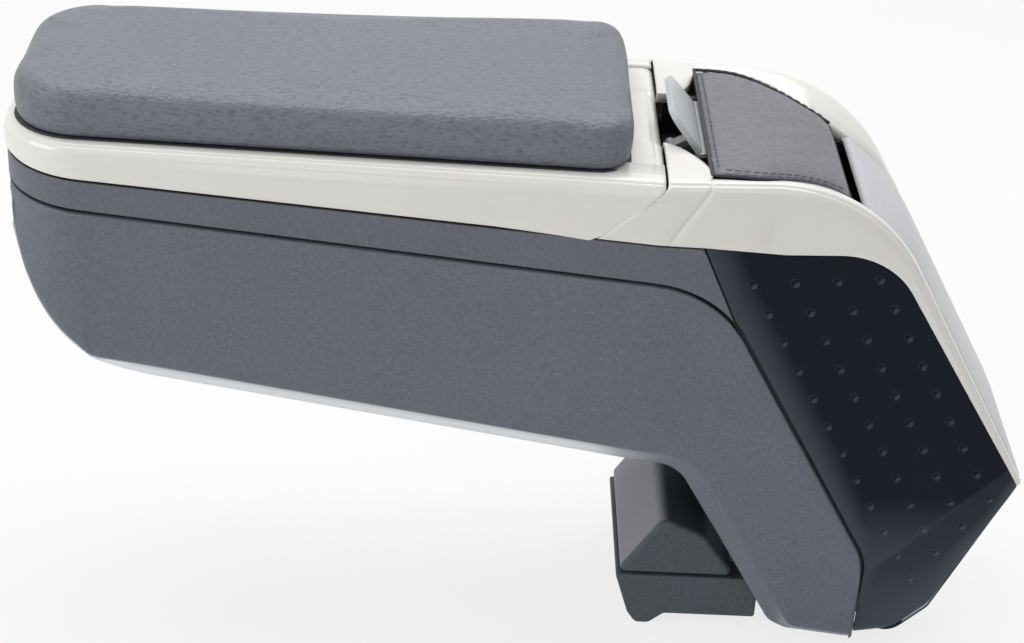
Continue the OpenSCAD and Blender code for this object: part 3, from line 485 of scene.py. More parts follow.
# Near-black leather for the fold round the knee leather: painted shade in the crevice beside the trim.
fold_shade_leather = leather("folded leather edge in painted shade", (0.03, 0.032, 0.038), 0.6, 560.0, 0.5)
thread = plastic("stitching thread", (0.11, 0.114, 0.13), 0.7, 3000, 0.0001)
zinc = metal("zinc plated steel", (0.6, 0.6, 0.61), 0.35)
black_steel = plastic("black painted steel", (0.02, 0.02, 0.022), 0.4, 700, 0.00005)
bronze = metal("sintered bronze", (0.5, 0.35, 0.16), 0.45)
lining = plastic("brake lining", (0.06, 0.045, 0.035), 0.9, 600, 0.0003, 0.3)
SLOT_FINISH = {"cream_plastic": cream, "grey_plastic": grey_shell, "rim_plastic": rim_grey,
               "panel_plastic": panel_black, "foot_plastic": foot_grey, "pad_leather": pad_leather,
               "knee_leather": knee_hide, "cover_plastic": cover_grey, "lever_plastic": lever_grey,
               "black_plastic": black, "pocket_lining": felt, "board": board, "zinc_steel": zinc,
               "painted_steel": black_steel, "bronze": bronze, "brake_lining": lining}
for part in frame["record"]["subparts"]:
    finish = black if part["node"] == "storage_tub" else SLOT_FINISH[part["material_slot"]]
    for slot in frame["nodes"][part["node"]].material_slots:
        slot.material = finish
print(len(SLOT_FINISH), "finishes on", len(frame["nodes"]), "nodes")

# %% [markdown]
# The outer shell is one moulding: the arm's trough and the front of the leg. Each station across it is a
# U: down one side, over the bevel, along the underside and up the other side. The bevel is a flat of its own
# that fades out where the front curves up. Its colour is painted lighter than the grained side: a painted
# reflection of the pale floor, strong along the arm, gone past the crook and weaker low on the leg.

# %% Outer shell
# Strength along x of the painted reflection of the floor on the bevel.
BEVEL_PAINTED_REFLECTION_X = [-264, -240, -60, -44, -32, -16, 0, 34, 42, 66]
BEVEL_PAINTED_REFLECTION = [0.3, 0.9, 1.0, 0.9, 0.35, 0.05, 0, 0, 0.4, 0.4]
NOTCH_HALF, NOTCH_FRONT_X = 38.5, -20


def shell_section(x):
    """Half section at each x and, for each point, how much of the bevel's painted reflection it shows."""
    top = z_shell(x)
    low = np.minimum(z_bottom(x), top - 0.02)
    w = half(x)
    rise = np.clip(z_bevel(x) - low, 0, None)
    share = np.clip(rise / np.sqrt(1 + slope_of(z_bevel, x) ** 2) / bevel_up, 0, 1)
    steep = np.sqrt(1 + np.clip(slope_of(z_bottom, x), -9, 9) ** 2)
    up = np.minimum(np.maximum(rise, 3 * steep * (1 - share)), (top - low) * 0.7)
    inward = np.minimum(np.maximum(bevel_in * share, 3 * (1 - share)), w * 0.4)
    corners = np.stack([xyz(x, 0 * w, low), xyz(x, w - inward, low), xyz(x, w, low + up), xyz(x, w, top),
                        xyz(x, w - 1.4, top)], 1)
    section = soften(corners, [2.5, 1.4 + 2 * (1 - share), np.minimum(0.4 + 0 * x, up)], 5)
    section = fill(fill(fill(section, 12, 14), 6, 3), 0, 8)
    # Painted reflection: the bevel's lighter second colour, its strength read along x.
    light = np.interp(x, BEVEL_PAINTED_REFLECTION_X, BEVEL_PAINTED_REFLECTION)
    into = np.clip((low + up - 0.4)[:, None] - section[..., 2], 0, 1) * np.clip(
        (section[..., 1] - (w - inward)[:, None] + 1) / 2, 0, 1)
    return section, into * light[:, None]


standing = shell_edge[shell_edge[:, 1] > z_bottom(shell_edge[:, 0]) + 0.8]
shell_x = stations(front_x, standing[:, 0].max(), 1.4, bottom_line, standing)
shell_half, bevel_painted_reflection = shell_section(shell_x)
shell_points = mirror(shell_half)
bevel_painted_reflection = np.concatenate([bevel_painted_reflection[:, :0:-1], bevel_painted_reflection], 1)
shell = grid("outer_shell_moulding", shell_points, grey_shell, "arm", flip=True, painted_tone=bevel_painted_reflection)
notch_low = np.interp(shell_points[..., 0], [0, 22, 62, 85], [64, 64, 30, 8])
cut_away(shell, (np.abs(shell_points[..., 1]) < NOTCH_HALF) & (shell_points[..., 2] < notch_low)
         & (shell_points[..., 0] > NOTCH_FRONT_X))
thicken(shell, wall)
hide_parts("outer_shell")
print("shell grid", shell_points.shape)

# %% [markdown]
# Behind the shadow gap down the leg, the real mouldings overlap in a lip. A thin black strip a wall's
# thickness inside follows the seam, so that no light comes through, and its black is painted shade in the gap.

# %% Lip behind the seam
LIP_HALF, LIP_FRONT_X, LIP_FOOT_Z = 2.2, -48, 14


def seam_shade_lip(side):
    """Strip along the seam: each point of the gap's curve is moved to both sides, just inside the wall."""
    path = gap_curve[(gap_curve[:, 0] > LIP_FRONT_X) & (gap_curve[:, 1] > LIP_FOOT_Z)][::3]
    offset = np.linspace(-LIP_HALF, LIP_HALF, 5)[None, :, None]
    place = path[:, None] + normals(path)[:, None] * offset
    return xyz(place[..., 0], side * (half(place[..., 0]) - wall - 0.2), place[..., 1])


for side, name in ((1, "right"), (-1, "left")):
    lip = grid("seam_shade_lip_" + name, seam_shade_lip(side), black, "arm", flip=side > 0)
    thicken(lip, 1.0)
print("seam lips made")

# %% [markdown]
# Rim and lid run round the front in one sweep, so they are a section carried round the plan's outline.

# %% The plan's loop and what follows it
def plan_loop(end_x, step=1.6):
    """Outline from the right rear, round the front, to the left rear, with its outward normals."""
    x = np.arange(plan_corner[-1, 0], end_x, 1.0)
    side = np.stack([x, half(x)], 1)
    right = np.concatenate([[[front_x, 0]], plan_corner, side[1:], [[end_x, half(end_x)]]])
    loop = resample(np.concatenate([right[::-1], right[1:] * [1, -1]]), step)
    outward = normals(loop)
    at_front = outward[len(loop) // 2, 0]
    return loop, outward if at_front <= 0 else -outward


def carried(loop, outward, rows):
    """Section rows (inset, height) carried round the loop. Heights may vary along it."""
    place = [np.concatenate([loop - outward * inset, np.broadcast_to(height, len(loop))[:, None]], 1)
             for inset, height in rows]
    return np.stack(place, 1)


loop, outward = plan_loop(10.2)
rim_high = np.minimum(skirt(loop[:, 0]) - 0.25, diagonal(loop[:, 0]) - 0.35)
rim_low = np.minimum(z_panel(loop[:, 0]), rim_high - 0.05)
rim_rows = [(1.4, rim_low), (-0.2, rim_low), (-0.2, rim_high), (1.2, rim_high)]
rim_points = soften(carried(loop, outward, rim_rows), [0.5, 0.6], 4)
rim = grid("tub_rim", rim_points, rim_grey, "arm")
print("rim grid", rim_points.shape)

# %% [markdown]
# The lid's skirt is glossy and cream, with a soft ridge that leads into a narrow ledge round the pad. Its
# rear end is cut at 45 degrees and curls forwards at its foot, so points near the end are pushed along x by
# their height.

# %% Lid frame
def parting_lean(depth):
    """How far the parting line has moved forwards at a depth below the lid's top."""
    return np.clip(depth - 3, 0, 30) + 5.0 * np.clip((depth - 15) / 9, 0, 1) ** 2


def cut_rear(points, reach=60.0):
    """Leans the last stretch before the parting line forwards, more and more towards the line."""
    share = np.clip((points[..., 0] - (part_x - reach)) / reach, 0, 1)
    out = points.copy()
    out[..., 0] -= share * (parting_lean(top_z - points[..., 2]) + 0.35)
    out[..., 1] *= np.where(share > 0, half(out[..., 0]) / half(points[..., 0]), 1)
    return out


lid_loop, lid_out = plan_loop(part_x)
lid_low = skirt(lid_loop[:, 0]) + 0.6
lid_rows = [(3, lid_low), (0, lid_low), (0, top_z - ridge_drop), (ridge_in, top_z), (13, top_z)]
lid_points = soften(carried(lid_loop, lid_out, lid_rows), [0.6, 1.9, 1.4], 6)
lid_points = cut_rear(fill(lid_points, 7, 6))
lid_frame = grid("lid_skirt", lid_points, cream, "lid")
thicken(lid_frame, wall - 0.5)
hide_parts("lid_frame")

edge_r = 3
deck_x = np.concatenate([np.linspace(-80, part_x - edge_r, 60),
                         part_x - edge_r + edge_r * np.sin(np.linspace(0.1, 1.57, 12))])
deck_y = np.linspace(-1, 1, 121)[None] * (half(deck_x) - 12.6)[:, None]
deck_drop = edge_r - np.sqrt(np.maximum(edge_r ** 2 - np.maximum(deck_x - (part_x - edge_r), 0) ** 2, 0))
scoop = 1.8 * np.clip((25 - np.abs(deck_y)) / 4, 0, 1) ** 1.5
scoop = scoop * np.clip((deck_x[:, None] + 37) / 12, 0, 1) ** 1.3
deck = grid("lid_deck", xyz(deck_x[:, None], deck_y, top_z - deck_drop[:, None] - scoop), cream, "lid")
thicken(deck, 2)
print("lid grid", lid_points.shape, "deck", deck_y.shape)

# %% [markdown]
# The rear trim is a saddle. Each section stands square to the ridge line of the knee: it starts at the edge of
# the leather, climbs to the ridge and drops down the side to the panel. Square sections keep the rail's width
# true round the bend. The front strip beside the lever is cut by two quarter ellipses.

# %% Rear trim
def trim_path():
    """Points on the ridge line, crowded where the quarter ellipse ends, and their inward unit vectors."""
    s = np.sin(np.linspace(0, math.pi / 2, 20))
    front = part_x + 0.5 + (leather_x - part_x - 0.5) * s
    rest = ridge_line[(ridge_line[:, 0] > leather_x + 0.4) & (ridge_line[:, 0] < tip_x - 0.3)][::2]
    path = np.concatenate([xyz(front, top_z, 0)[:, :2], [[leather_x + 0.03, top_z]], rest])
    path[:, 1] = z_ridge(path[:, 0])
    inward = -normals(path)
    return path, np.where(path[:, :1] < leather_x + 1, [[0, -1.0]], inward)


def below(path, inward, depth):
    """Place of a point at a depth below the ridge: square to it, but along the parting line at the front."""
    share = np.clip(1 - (path[:, :1] - part_x) / 40, 0, 1) ** 1.2
    x = path[:, :1] + inward[:, :1] * depth - share * parting_lean(depth)
    return x, path[:, 1:] + inward[:, 1:] * depth


def trim_points():
    """Sections of the right rail from the leather's edge over the ridge down to the panel."""
    path, inward = trim_path()
    x = path[:, 0]
    probe = np.linspace(0, 60, 3001)[None]
    px, pz = below(path, inward, probe)
    low = probe[0, np.argmax(pz < z_trim(px), axis=1)][:, None]
    s = np.clip((x - part_x) / (leather_x - part_x), 0, 1)
    cheek = window(leather_x)
    inner = np.where(x <= leather_x, cheek - (cheek - 22.5) * np.sqrt(1 - s ** 2), window(x))
    down = path[:, None] + inward[:, None] * probe[0, :, None]
    to_saddle = probe[0, np.argmax(down[..., 1] < z_saddle(down[..., 0]), axis=1)]
    sink = to_saddle + np.interp(x, [-24, leather_x, 20, 45, 75], [0.0, 2.0, 1.6, 0.8, 0.0])
    w = half(x)
    drop = np.minimum(ridge_drop, low[:, 0] * 0.5)
    flat = np.maximum(w - ridge_in, inner + 0.5)
    depths = np.stack([sink + 3.4, sink, 0 * x, drop, np.maximum(low[:, 0] - 0.25, drop + 0.1),
                       np.maximum(low[:, 0] - 0.25, drop + 0.1)], 1)
    across = np.stack([inner, inner, flat, w, w, w - 3], 1)
    px, pz = below(path, inward, depths)
    across -= w[:, None] - half(px)
    across[:, 0:2] = np.stack([inner, inner], 1)
    section = soften(np.stack([px, across, pz], -1), [0.9, 2.2, 1.8, 0.5], 6)
    return fill(fill(section, 21, 8), 7, 5)


trim_grid = trim_points()
for side, name in ((1, "right"), (-1, "left")):
    piece = grid("trim_rail_" + name, trim_grid * [1, side, 1], cream, "arm", flip=side < 0)
    thicken(piece, 2.0)
    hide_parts("rear_trim")
print("trim grid", trim_grid.shape)

# %% [markdown]
# The side panels carry rows of dimples on a slanting lattice, and a facet turns in below the last rows. The
# panel is flat in the side view, so its grid is ruled there: one parameter runs along the upper and the lower
# edge together, the other leads from one to the other. A function then presses dimples, facet and rolled edge.

# %% Dimples
ROW = 14.0 * np.array([math.cos(math.radians(60)), -math.sin(math.radians(60))])
COLUMN = 15.6 * np.array([math.cos(math.radians(3)), math.sin(math.radians(3))])
FIRST_DIMPLE, DIMPLE_R, DIMPLE_DEEP = np.array([9.0, 164.0]), 1.35, 0.8


def dimple_depth(x, z):
    """Depth of the nearest dimple: the lattice is inverted, the indices are rounded, and the cup is a parabola
    inside a low raised ring."""
    basis = np.linalg.inv(np.stack([ROW, COLUMN], 1))
    index = np.rint(np.einsum("ij,...j->...i", basis, np.stack([x, z], -1) - FIRST_DIMPLE))
    row, column = index[..., 0].astype(int), index[..., 1].astype(int)
    real = (row >= 0) & (row < 12) & (column >= 0) & (column <= np.minimum(3, 11 - row))
    centre = FIRST_DIMPLE + row[..., None] * ROW + column[..., None] * COLUMN
    r = np.hypot(x - centre[..., 0], z - centre[..., 1]) / DIMPLE_R
    cup = DIMPLE_DEEP * np.clip(1 - r ** 2, 0, 1) - 0.16 * np.exp(-((r - 1.18) / 0.16) ** 2)
    return np.where(real, cup, 0)


def dimple_painted_highlight(x, z):
    """Painted highlight: a light crescent on the lower front side of each dimple, where its edge would catch
    the light.
    """
    here, shifted_up = dimple_depth(x, z), dimple_depth(x - 0.5, z + 0.6)
    return np.clip((shifted_up - here) * 1.3, 0, 0.5)


# %% Side panels
HEEL_ROLL = 3.2


def panel_points(side):
    """Ruled grid between the lower boundary (rim, seam, leg's underside) and the trim's edge, then relief, and
    a share of painted light for each point.
    """
    rim_x = np.linspace(-9.4, 10.0, 60)
    rim = np.stack([rim_x, diagonal(rim_x) + 0.35], 1)
    rim = rim[rim[:, 1] > z_panel(rim_x)]
    seam = panel_edge[(panel_edge[:, 0] > rim[-1, 0]) & (panel_edge[:, 1] > 4.5)]
    heel = bottom_line[(bottom_line[:, 0] > seam[-1, 0] + 0.3) & (bottom_line[:, 0] < tip_x - 1.1)]
    lower = resample(np.concatenate([rim, seam, heel]), 0.62)
    upper = trim_curve[(trim_curve[:, 0] > -9.4) & (trim_curve[:, 1] > tip_z - 1)]
    upper = resample(upper, lengths(upper)[-1] / (len(lower) - 1))[:len(lower)] - [0, 0.25]
    lower = lower[:len(upper)]
    span = np.linalg.norm(upper - lower, axis=1)[:, None]
    edge = np.array([0, 0.15, 0.4, 0.8, 1.4, 2.2, HEEL_ROLL])[None]
    edge_end = HEEL_ROLL / np.maximum(span, 6.5)
    rest = np.linspace(0, 1, 141)[None, 1:]
    share = np.concatenate([np.minimum(edge / np.maximum(span, 6.5), 0.5),
                            edge_end + (1 - edge_end) * rest], 1)
    place = lower[:, None] + (upper - lower)[:, None] * share[..., None]
    x, z = place[..., 0], place[..., 1]
    away = share * span
    at_heel = (np.arange(len(lower)) >= np.argmax(lower[:, 0] > seam[-1, 0] + 0.2))[:, None]
    roll = np.where(at_heel, HEEL_ROLL, 0.6)
    into = np.clip(roll - away, 0, roll)
    y = half(x) - (roll - np.sqrt(np.maximum(roll ** 2 - into ** 2, 0)))
    facet = np.clip(((x - 80) * 33 - (z - 49) * 35) / 48.1, 0, 60)
    y = y - 0.13 * facet - 0.5 * np.clip(1 - away / 22, 0, 1) ** 2 - dimple_depth(x, z)
    inner = np.where(at_heel[:, 0], window(lower[:, 0]), half(lower[:, 0]) - 3.6)
    returned = np.stack([y[:, 0] + (inner - y[:, 0]) * t for t in (1, 0.5)], 1)
    tuck = np.stack([half(upper[:, 0]) - 3], 1)
    x = np.concatenate([x[:, :1], x[:, :1], x, x[:, -1:]], 1)
    z = np.concatenate([z[:, :1], z[:, :1], z, z[:, -1:]], 1)
    points = xyz(x, side * np.concatenate([returned, y, tuck], 1), z)
    # Painted light for the colour: a painted sheen near the lower edges, a painted reflection lighter towards
    # the bottom, the facet painted lighter and painted highlights on the dimples' crescents.
    near = np.clip(1 - away / np.interp(z[:, 2:-1], [20, 60, 175], [60, 16, 20]), 0, 1) * 0.55
    low = np.interp(z[:, 2:-1], [5, 35, 70], [0.85, 0.6, 0.0]) * np.clip(1 - facet / 4, 0.25, 1)
    dimple_highlights = dimple_painted_highlight(x[:, 2:-1], z[:, 2:-1])
    painted_tone = np.clip(np.maximum(near, low) + np.where(facet > 0.4, 0.12, 0) + dimple_highlights, 0, 1)
    # Painted highlight along the heel's rolled edge; the rolled edge elsewhere keeps the dark base colour.
    painted_tone = np.where(into > 0.3, np.where(at_heel, 0.9, 0), painted_tone)
    painted_tone = np.concatenate([painted_tone[:, :1], painted_tone[:, :1], painted_tone, painted_tone[:, -1:]], 1)
    return points, painted_tone


for side, name in ((1, "right"), (-1, "left")):
    panel_grid, panel_painted_light = panel_points(side)
    piece = grid(name + "_dimpled_panel", panel_grid, panel_black, "arm", flip=side < 0, painted_tone=panel_painted_light)
    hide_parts(name + "_side_panel")
print("panel grid", panel_grid.shape)

# %% [markdown]
# The rear cover lies a little lower than the rails at the knee and swells across the leg. Its upper edge
# rolls over into the pocket's mouth.

# %% Rear cover
def cover_points():
    """Line of the saddle from the pocket to the tip and round to the leg's underside, lifted by a crown
    (1 - v^2) across the leg."""
    upper = saddle_line[saddle_line[:, 0] > leather_end_x + mouth + 0.6]
    lower = bottom_line[bottom_line[:, 0] > seam_x + 21][::-1]
    line = resample(np.concatenate([upper, lower]), 1.2)
    outward = normals(line)
    for _ in range(3):
        outward[1:-1] = (outward[:-2] + 2 * outward[1:-1] + outward[2:]) / 4
    s, to_tip = lengths(line), lengths(upper)[-1]
    v = np.linspace(-1, 1, 61)
    swell = np.clip(s / 26, 0, 1) * np.clip((to_tip + 4 - s) / 22, 0, 1)
    lift = 0.4 + 2.4 * (1 - v ** 2)[None] * swell[:, None] - 2.4 * (np.clip(1 - s / 2.6, 0, 1) ** 2)[:, None]
    lift = lift - 0.8 * np.abs(v[None]) ** 24
    place = line[:, None] + outward[:, None] * lift[..., None]
    return xyz(place[..., 0], v[None] * (window(line[:, 0]) - 0.45)[:, None], place[..., 1])


cover = grid("rear_cover_panel", cover_points(), cover_grey, "arm", flip=True)
thicken(cover, 2.4)
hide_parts("rear_cover")
print("cover made")

# %% [markdown]
# The soft parts are foam under leather. A form a little smaller than the real pad is blown up with cloth
# simulation: pressure pushes the skin out, the leather's stretch rounds it, and the edge that is pulled round
# the board is held. How far each point may move is capped, and a subdivision smooths the skin afterwards.

# %% Blowing up a leather skin
def inflate(obj, held, cap, pressure=4.0, frames=20):
    """Runs the cloth, then moves each point along its own way, at most cap millimetres."""
    mesh = obj.data
    count = len(mesh.vertices)
    before = np.empty(count * 3)
    mesh.vertices.foreach_get("co", before)
    before = before.reshape(-1, 3)
    group = obj.vertex_groups.new(name="held")
    group.add(np.flatnonzero(held(before / MM)).tolist(), 1.0, "REPLACE")
    cloth = obj.modifiers.new("cloth", "CLOTH")
    cloth.settings.vertex_group_mass = "held"
    cloth.settings.use_pressure = True
    cloth.settings.uniform_pressure_force = pressure
    cloth.settings.effector_weights.gravity = 0
    cloth.settings.tension_stiffness = cloth.settings.compression_stiffness = 25
    cloth.settings.bending_stiffness = 2
    cloth.collision_settings.use_collision = False
    cloth.point_cache.frame_end = frames
    for number in range(1, frames + 1):
        scene.frame_set(number)
    blown = obj.evaluated_get(bpy.context.evaluated_depsgraph_get()).to_mesh()
    after = np.empty(count * 3)
    blown.vertices.foreach_get("co", after)
    move = after.reshape(-1, 3) - before
    obj.modifiers.remove(cloth)
    obj.vertex_groups.remove(group)
    scene.frame_set(1)
    size = np.linalg.norm(move, axis=1, keepdims=True)
    move *= np.minimum(1, cap * MM / np.maximum(size, 1e-9))
    mesh.vertices.foreach_set("co", (before + move).reshape(-1))
    mesh.update()
    return float(size.max() / MM)


def smooth_skin(obj, levels=1):
    """Adds the subdivision that follows the simulation."""
    sub = obj.modifiers.new("skin", "SUBSURF")
    sub.levels = sub.render_levels = levels


# %% [markdown]
# The lid's pad swells out over the ledge, tucks in at its foot and closes in a slow crown. Its rings all follow
# one outline with round corners, and close on a straight line along the middle, not on a point, so that they
# never cross.

# %% Lid pad
PAD_FOOT_Z, PAD_SWELL = 204.7, 0.9
pad_x, pad_y, pad_rear_x, pad_rear_y = front_x + 2.6, front_half - 3.6, -36.6, 53.4
pad_corners = [[pad_x, 0, 0], [pad_x, -pad_y, 27], [pad_rear_x, -pad_rear_y, 13],
               [pad_rear_x, pad_rear_y, 13], [pad_x, pad_y, 27], [pad_x, 0.01, 0]]
pad_outline = resample(rounded(pad_corners, 40), 4.0)[:-1]


def pad_ring(inset, share, height):
    """The outline moved inwards by inset, then towards the middle line by a share, at a height."""
    outline = pad_outline
    ring = outline + normals(outline, closed=True) * inset
    middle = np.stack([np.clip(ring[:, 0], -214, -92), 0 * ring[:, 1]], 1)
    ring = ring + (middle - ring) * share
    return np.concatenate([ring, np.full((len(ring), 1), PAD_FOOT_Z + height)], 1)


def pad_points(swell):
    """Bottom from the middle outwards, side in a tight roll, top back to the middle. The swell is left out."""
    rows = [pad_ring(2.2, k, 0.0) for k in (1.0, 0.7, 0.4, 0.15)]
    side = [(2.2, 0.2), (1.7, 1.2), (0.9, 3.2), (0.3, 6.0), (0.0, 9.4), (0.2, 12.6), (0.9, 15.2), (2.4, 17.6),
            (5.0, 18.9), (9.0, 19.4)]
    for inset, height in side:
        grown = swell * min(1.0, height / 8)
        rows.append(pad_ring(inset + grown * (1 - min(1.0, max(0.0, inset) / 9)), 0.0,
                             height - grown * max(0.0, (height - 9) / 10.4)))
    for k in np.linspace(0.1, 1.0, 11):
        rows.append(pad_ring(9.0, k, 19.4 - swell + 0.5 * (1 - (1 - k) ** 2)))
    return np.stack(rows)


pad = grid("padded_lid", pad_points(PAD_SWELL), pad_leather, "lid", ring=True, weld=True)
moved = inflate(pad, lambda p: p[:, 2] < PAD_FOOT_Z + 2.0, cap=PAD_SWELL + 0.1)
smooth_skin(pad, 2)
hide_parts("lid_pad")
print("pad blown up by", round(moved, 1), "mm before the cap")

# A black ring round the pad's foot, in the crevice where the leather tucks in: painted shadow under the pad's
# swell.
strip_rows = ((4, 1.0, 0.05), (4, 0.0, 0.05), (0.9, 0.0, 0.05), (0.6, 0.0, 0.4), (0.9, 0.0, 1.0), (4, 0.0, 1.0),
              (4, 1.0, 1.0))
foot_rows = [pad_ring(inset, share, height - 0.72) for inset, share, height in strip_rows]
pad_shadow_strip = grid("pad_painted_shadow_strip", np.stack(foot_rows), black, "lid", ring=True, weld=True)

# %% [markdown]
# Over the knee the leather follows the saddle between the rails. It is folded under along all four edges, so
# its border is a soft roll, with a row of stitches and a fold beside the trim in near-black: painted shade in
# the crevice.

# %% Knee leather
knee_path = saddle_line[(saddle_line[:, 0] > leather_x) & (saddle_line[:, 0] < leather_end_x + 0.5)]
knee_path = resample(knee_path, 1.9)


def knee_points():
    """Closed sections: the upper side swells as ((1 - |u|^7)(1 - |v|^9))^0.7, with small waves and a crumple in
    the two front corners, and the lower side lies on the board."""
    outward = normals(knee_path)
    u = np.linspace(-1, 1, len(knee_path))[:, None]
    v = np.linspace(-1, 1, 61)[None]
    puff = np.clip((1 - np.abs(u) ** 7) * (1 - np.abs(v) ** 9), 0, 1) ** 0.7
    top = -1.5 + 3.3 * puff
    width = (window(knee_path[:, 0]) - 0.7 - 2.5 * np.clip((np.abs(u[:, 0]) - 0.96) / 0.04, 0, 1) ** 2)[:, None]
    corner = sum(np.exp(-((u + 0.86) / 0.16) ** 2) * np.exp(-((v - at) / 0.14) ** 2) for at in (-0.84, 0.84))
    x, y = knee_path[:, :1], 46 * v
    waves = np.sin(0.55 * x + 0.16 * y + 1.2 * np.sin(0.11 * y))
    waves = waves + 0.6 * np.sin(0.3 * x - 0.42 * y + 0.9 * np.sin(0.2 * x))
    crumple = corner * np.sin(1.1 * x + 0.75 * np.abs(y) + 1.5 * np.sin(0.3 * y))
    top = top + puff * (0.1 * waves + 0.45 * crumple)
    bottom = np.broadcast_to(-1.9, (len(knee_path), 29))
    lift = np.concatenate([top, bottom], 1)
    across = np.concatenate([v * width, v[:, -3:0:-2] * width], 1)
    lift = lift[:, :across.shape[1]]
    place = knee_path[:, None] + outward[:, None] * lift[..., None]
    return xyz(place[..., 0], across, place[..., 1])


knee_grid = knee_points()
knee = grid("knee_leather_cover", knee_grid, knee_hide, "arm", ring=True, cap=True, weld=True)


def knee_held(p):
    """Everything but the middle of the upper side is held."""
    inner = (np.abs(p[:, 1]) < window(p[:, 0]) - 5) & (p[:, 0] > leather_x + 4) & (p[:, 0] < leather_end_x - 4)
    return ~(inner & (p[:, 2] > z_saddle(p[:, 0]) + 0.2))


moved = inflate(knee, knee_held, cap=1.2, pressure=1.5)
smooth_skin(knee, 1)
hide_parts("knee_leather")
print("knee blown up by", round(moved, 1), "mm before the cap")


# %% Fold and stitches round the knee leather
def tube(name, path, radius, material, body, sides=8):
    """Round cord along a path of points: rings square to the path."""
    along = np.gradient(path, axis=0)
    along /= np.linalg.norm(along, axis=1, keepdims=True)
    up = np.cross(along, np.cross([[0, 0.02, 1.0]], along))
    up /= np.linalg.norm(up, axis=1, keepdims=True)
    side = np.cross(along, up)
    a = np.linspace(0, 2 * math.pi, sides, endpoint=False)
    across, upwards = (radius * turn(a)[None, :, None] for turn in (np.cos, np.sin))
    ring = path[:, None] + side[:, None] * across + up[:, None] * upwards
    return grid(name, ring, material, body, ring=True, cap=True, weld=True)


def knee_border(inset, lift):
    """Line round the leather, inset from the opening's edge and lifted above the saddle."""
    x = saddle_line[:, 0]
    path = resample(saddle_line[(x > leather_x + inset) & (x < leather_end_x - inset * 0.4)], 1.2)
    place = path + normals(path) * lift
    y = window(path[:, 0]) - inset
    near = xyz(place[:, 0], -y, place[:, 1])
    far = xyz(place[:, 0], y, place[:, 1])
    bridge = np.linspace(-1, 1, 70)[1:-1]
    front = xyz(place[0, 0], bridge * y[0], place[0, 1])
    return near, front, far


near, front, far = knee_border(0.5, -0.35)
border = np.concatenate([near[::-1], front, far])
# The fold's near-black colour is painted shade in the crevice beside the trim.
fold = tube("knee_leather_fold", border, 0.7, fold_shade_leather, "arm")


def stitch_row(name, path, pitch=3.4, long=2.4, radius=0.27):
    """Short capsules along a path: five rings of six points each, all stitches worked out together."""
    s = lengths(path)
    middle = np.arange(pitch, s[-1] - pitch, pitch)
    centre = np.stack([np.interp(middle, s, path[:, k]) for k in range(3)], 1)
    ahead = np.stack([np.interp(middle + 0.5, s, path[:, k]) for k in range(3)], 1) - centre
    along = ahead / np.linalg.norm(ahead, axis=1, keepdims=True)
    side = np.cross(along, [[0, 0.02, 1.0]])
    side /= np.linalg.norm(side, axis=1, keepdims=True)
    up = np.cross(side, along)
    step = np.array([-1, -0.8, 0, 0.8, 1]) * long / 2
    girth = np.array([0.25, 0.85, 1, 0.85, 0.25]) * radius
    a = np.linspace(0, 2 * math.pi, 6, endpoint=False)
    points = (centre[:, None, None] + along[:, None, None] * step[None, :, None, None]
              + girth[None, :, None, None] * (side[:, None, None] * np.cos(a)[None, None, :, None]
                                              + up[:, None, None] * np.sin(a)[None, None, :, None]))
    count = len(middle)
    base = np.arange(count)[:, None, None] * 30 + np.arange(4)[None, :, None] * 6
    j = np.arange(6)[None, None]
    k = (j + 1) % 6
    quads = np.stack([base + j, base + k, base + 6 + k, base + 6 + j], -1).reshape(-1, 4).tolist()
    first = (np.arange(count)[:, None] * 30 + np.arange(6)[None, ::-1]).tolist()
    last = (np.arange(count)[:, None] * 30 + 24 + np.arange(6)[None]).tolist()
    mesh = bpy.data.meshes.new(name)
    mesh.from_pydata((points.reshape(-1, 3) * MM).tolist(), [], quads + first + last)
    mesh.polygons.foreach_set("use_smooth", [True] * len(mesh.polygons))
    mesh.materials.append(thread)
    obj = bpy.data.objects.new(name, mesh)
    scene.collection.objects.link(obj)
    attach(obj, "arm")
    return count


near, front, far = knee_border(2.6, 1.0)
total = sum(stitch_row("knee_stitches_" + label, path) for label, path in
            (("near", near), ("front", front), ("far", far)))
print("stitches", total)

# %% [markdown]
# The foot's two covers and the lever's paddle are slabs with rolled edges: an outline repeated across the
# part, shrinking towards both faces along a quarter circle.

# %% Foot covers
def slab(outline, half_width, edge, steps=6):
    """Rings across y. Near each face the outline shrinks by edge*(1-cos a) while y gains edge*sin a."""
    line = resample(np.concatenate([outline, outline[:1]]), 0.9)[:-1]
    inward = normals(line, closed=True)
    a = np.linspace(0, math.pi / 2, steps + 1)
    y = np.concatenate([[0], half_width - edge + edge * np.sin(a)])
    shrink = np.concatenate([[0], edge * (1 - np.cos(a))])
    y, shrink = np.concatenate([-y[:0:-1], y]), np.concatenate([shrink[:0:-1], shrink])
    place = line[None] + inward[None] * shrink[:, None, None]
    return xyz(place[..., 0], y[:, None], place[..., 1])


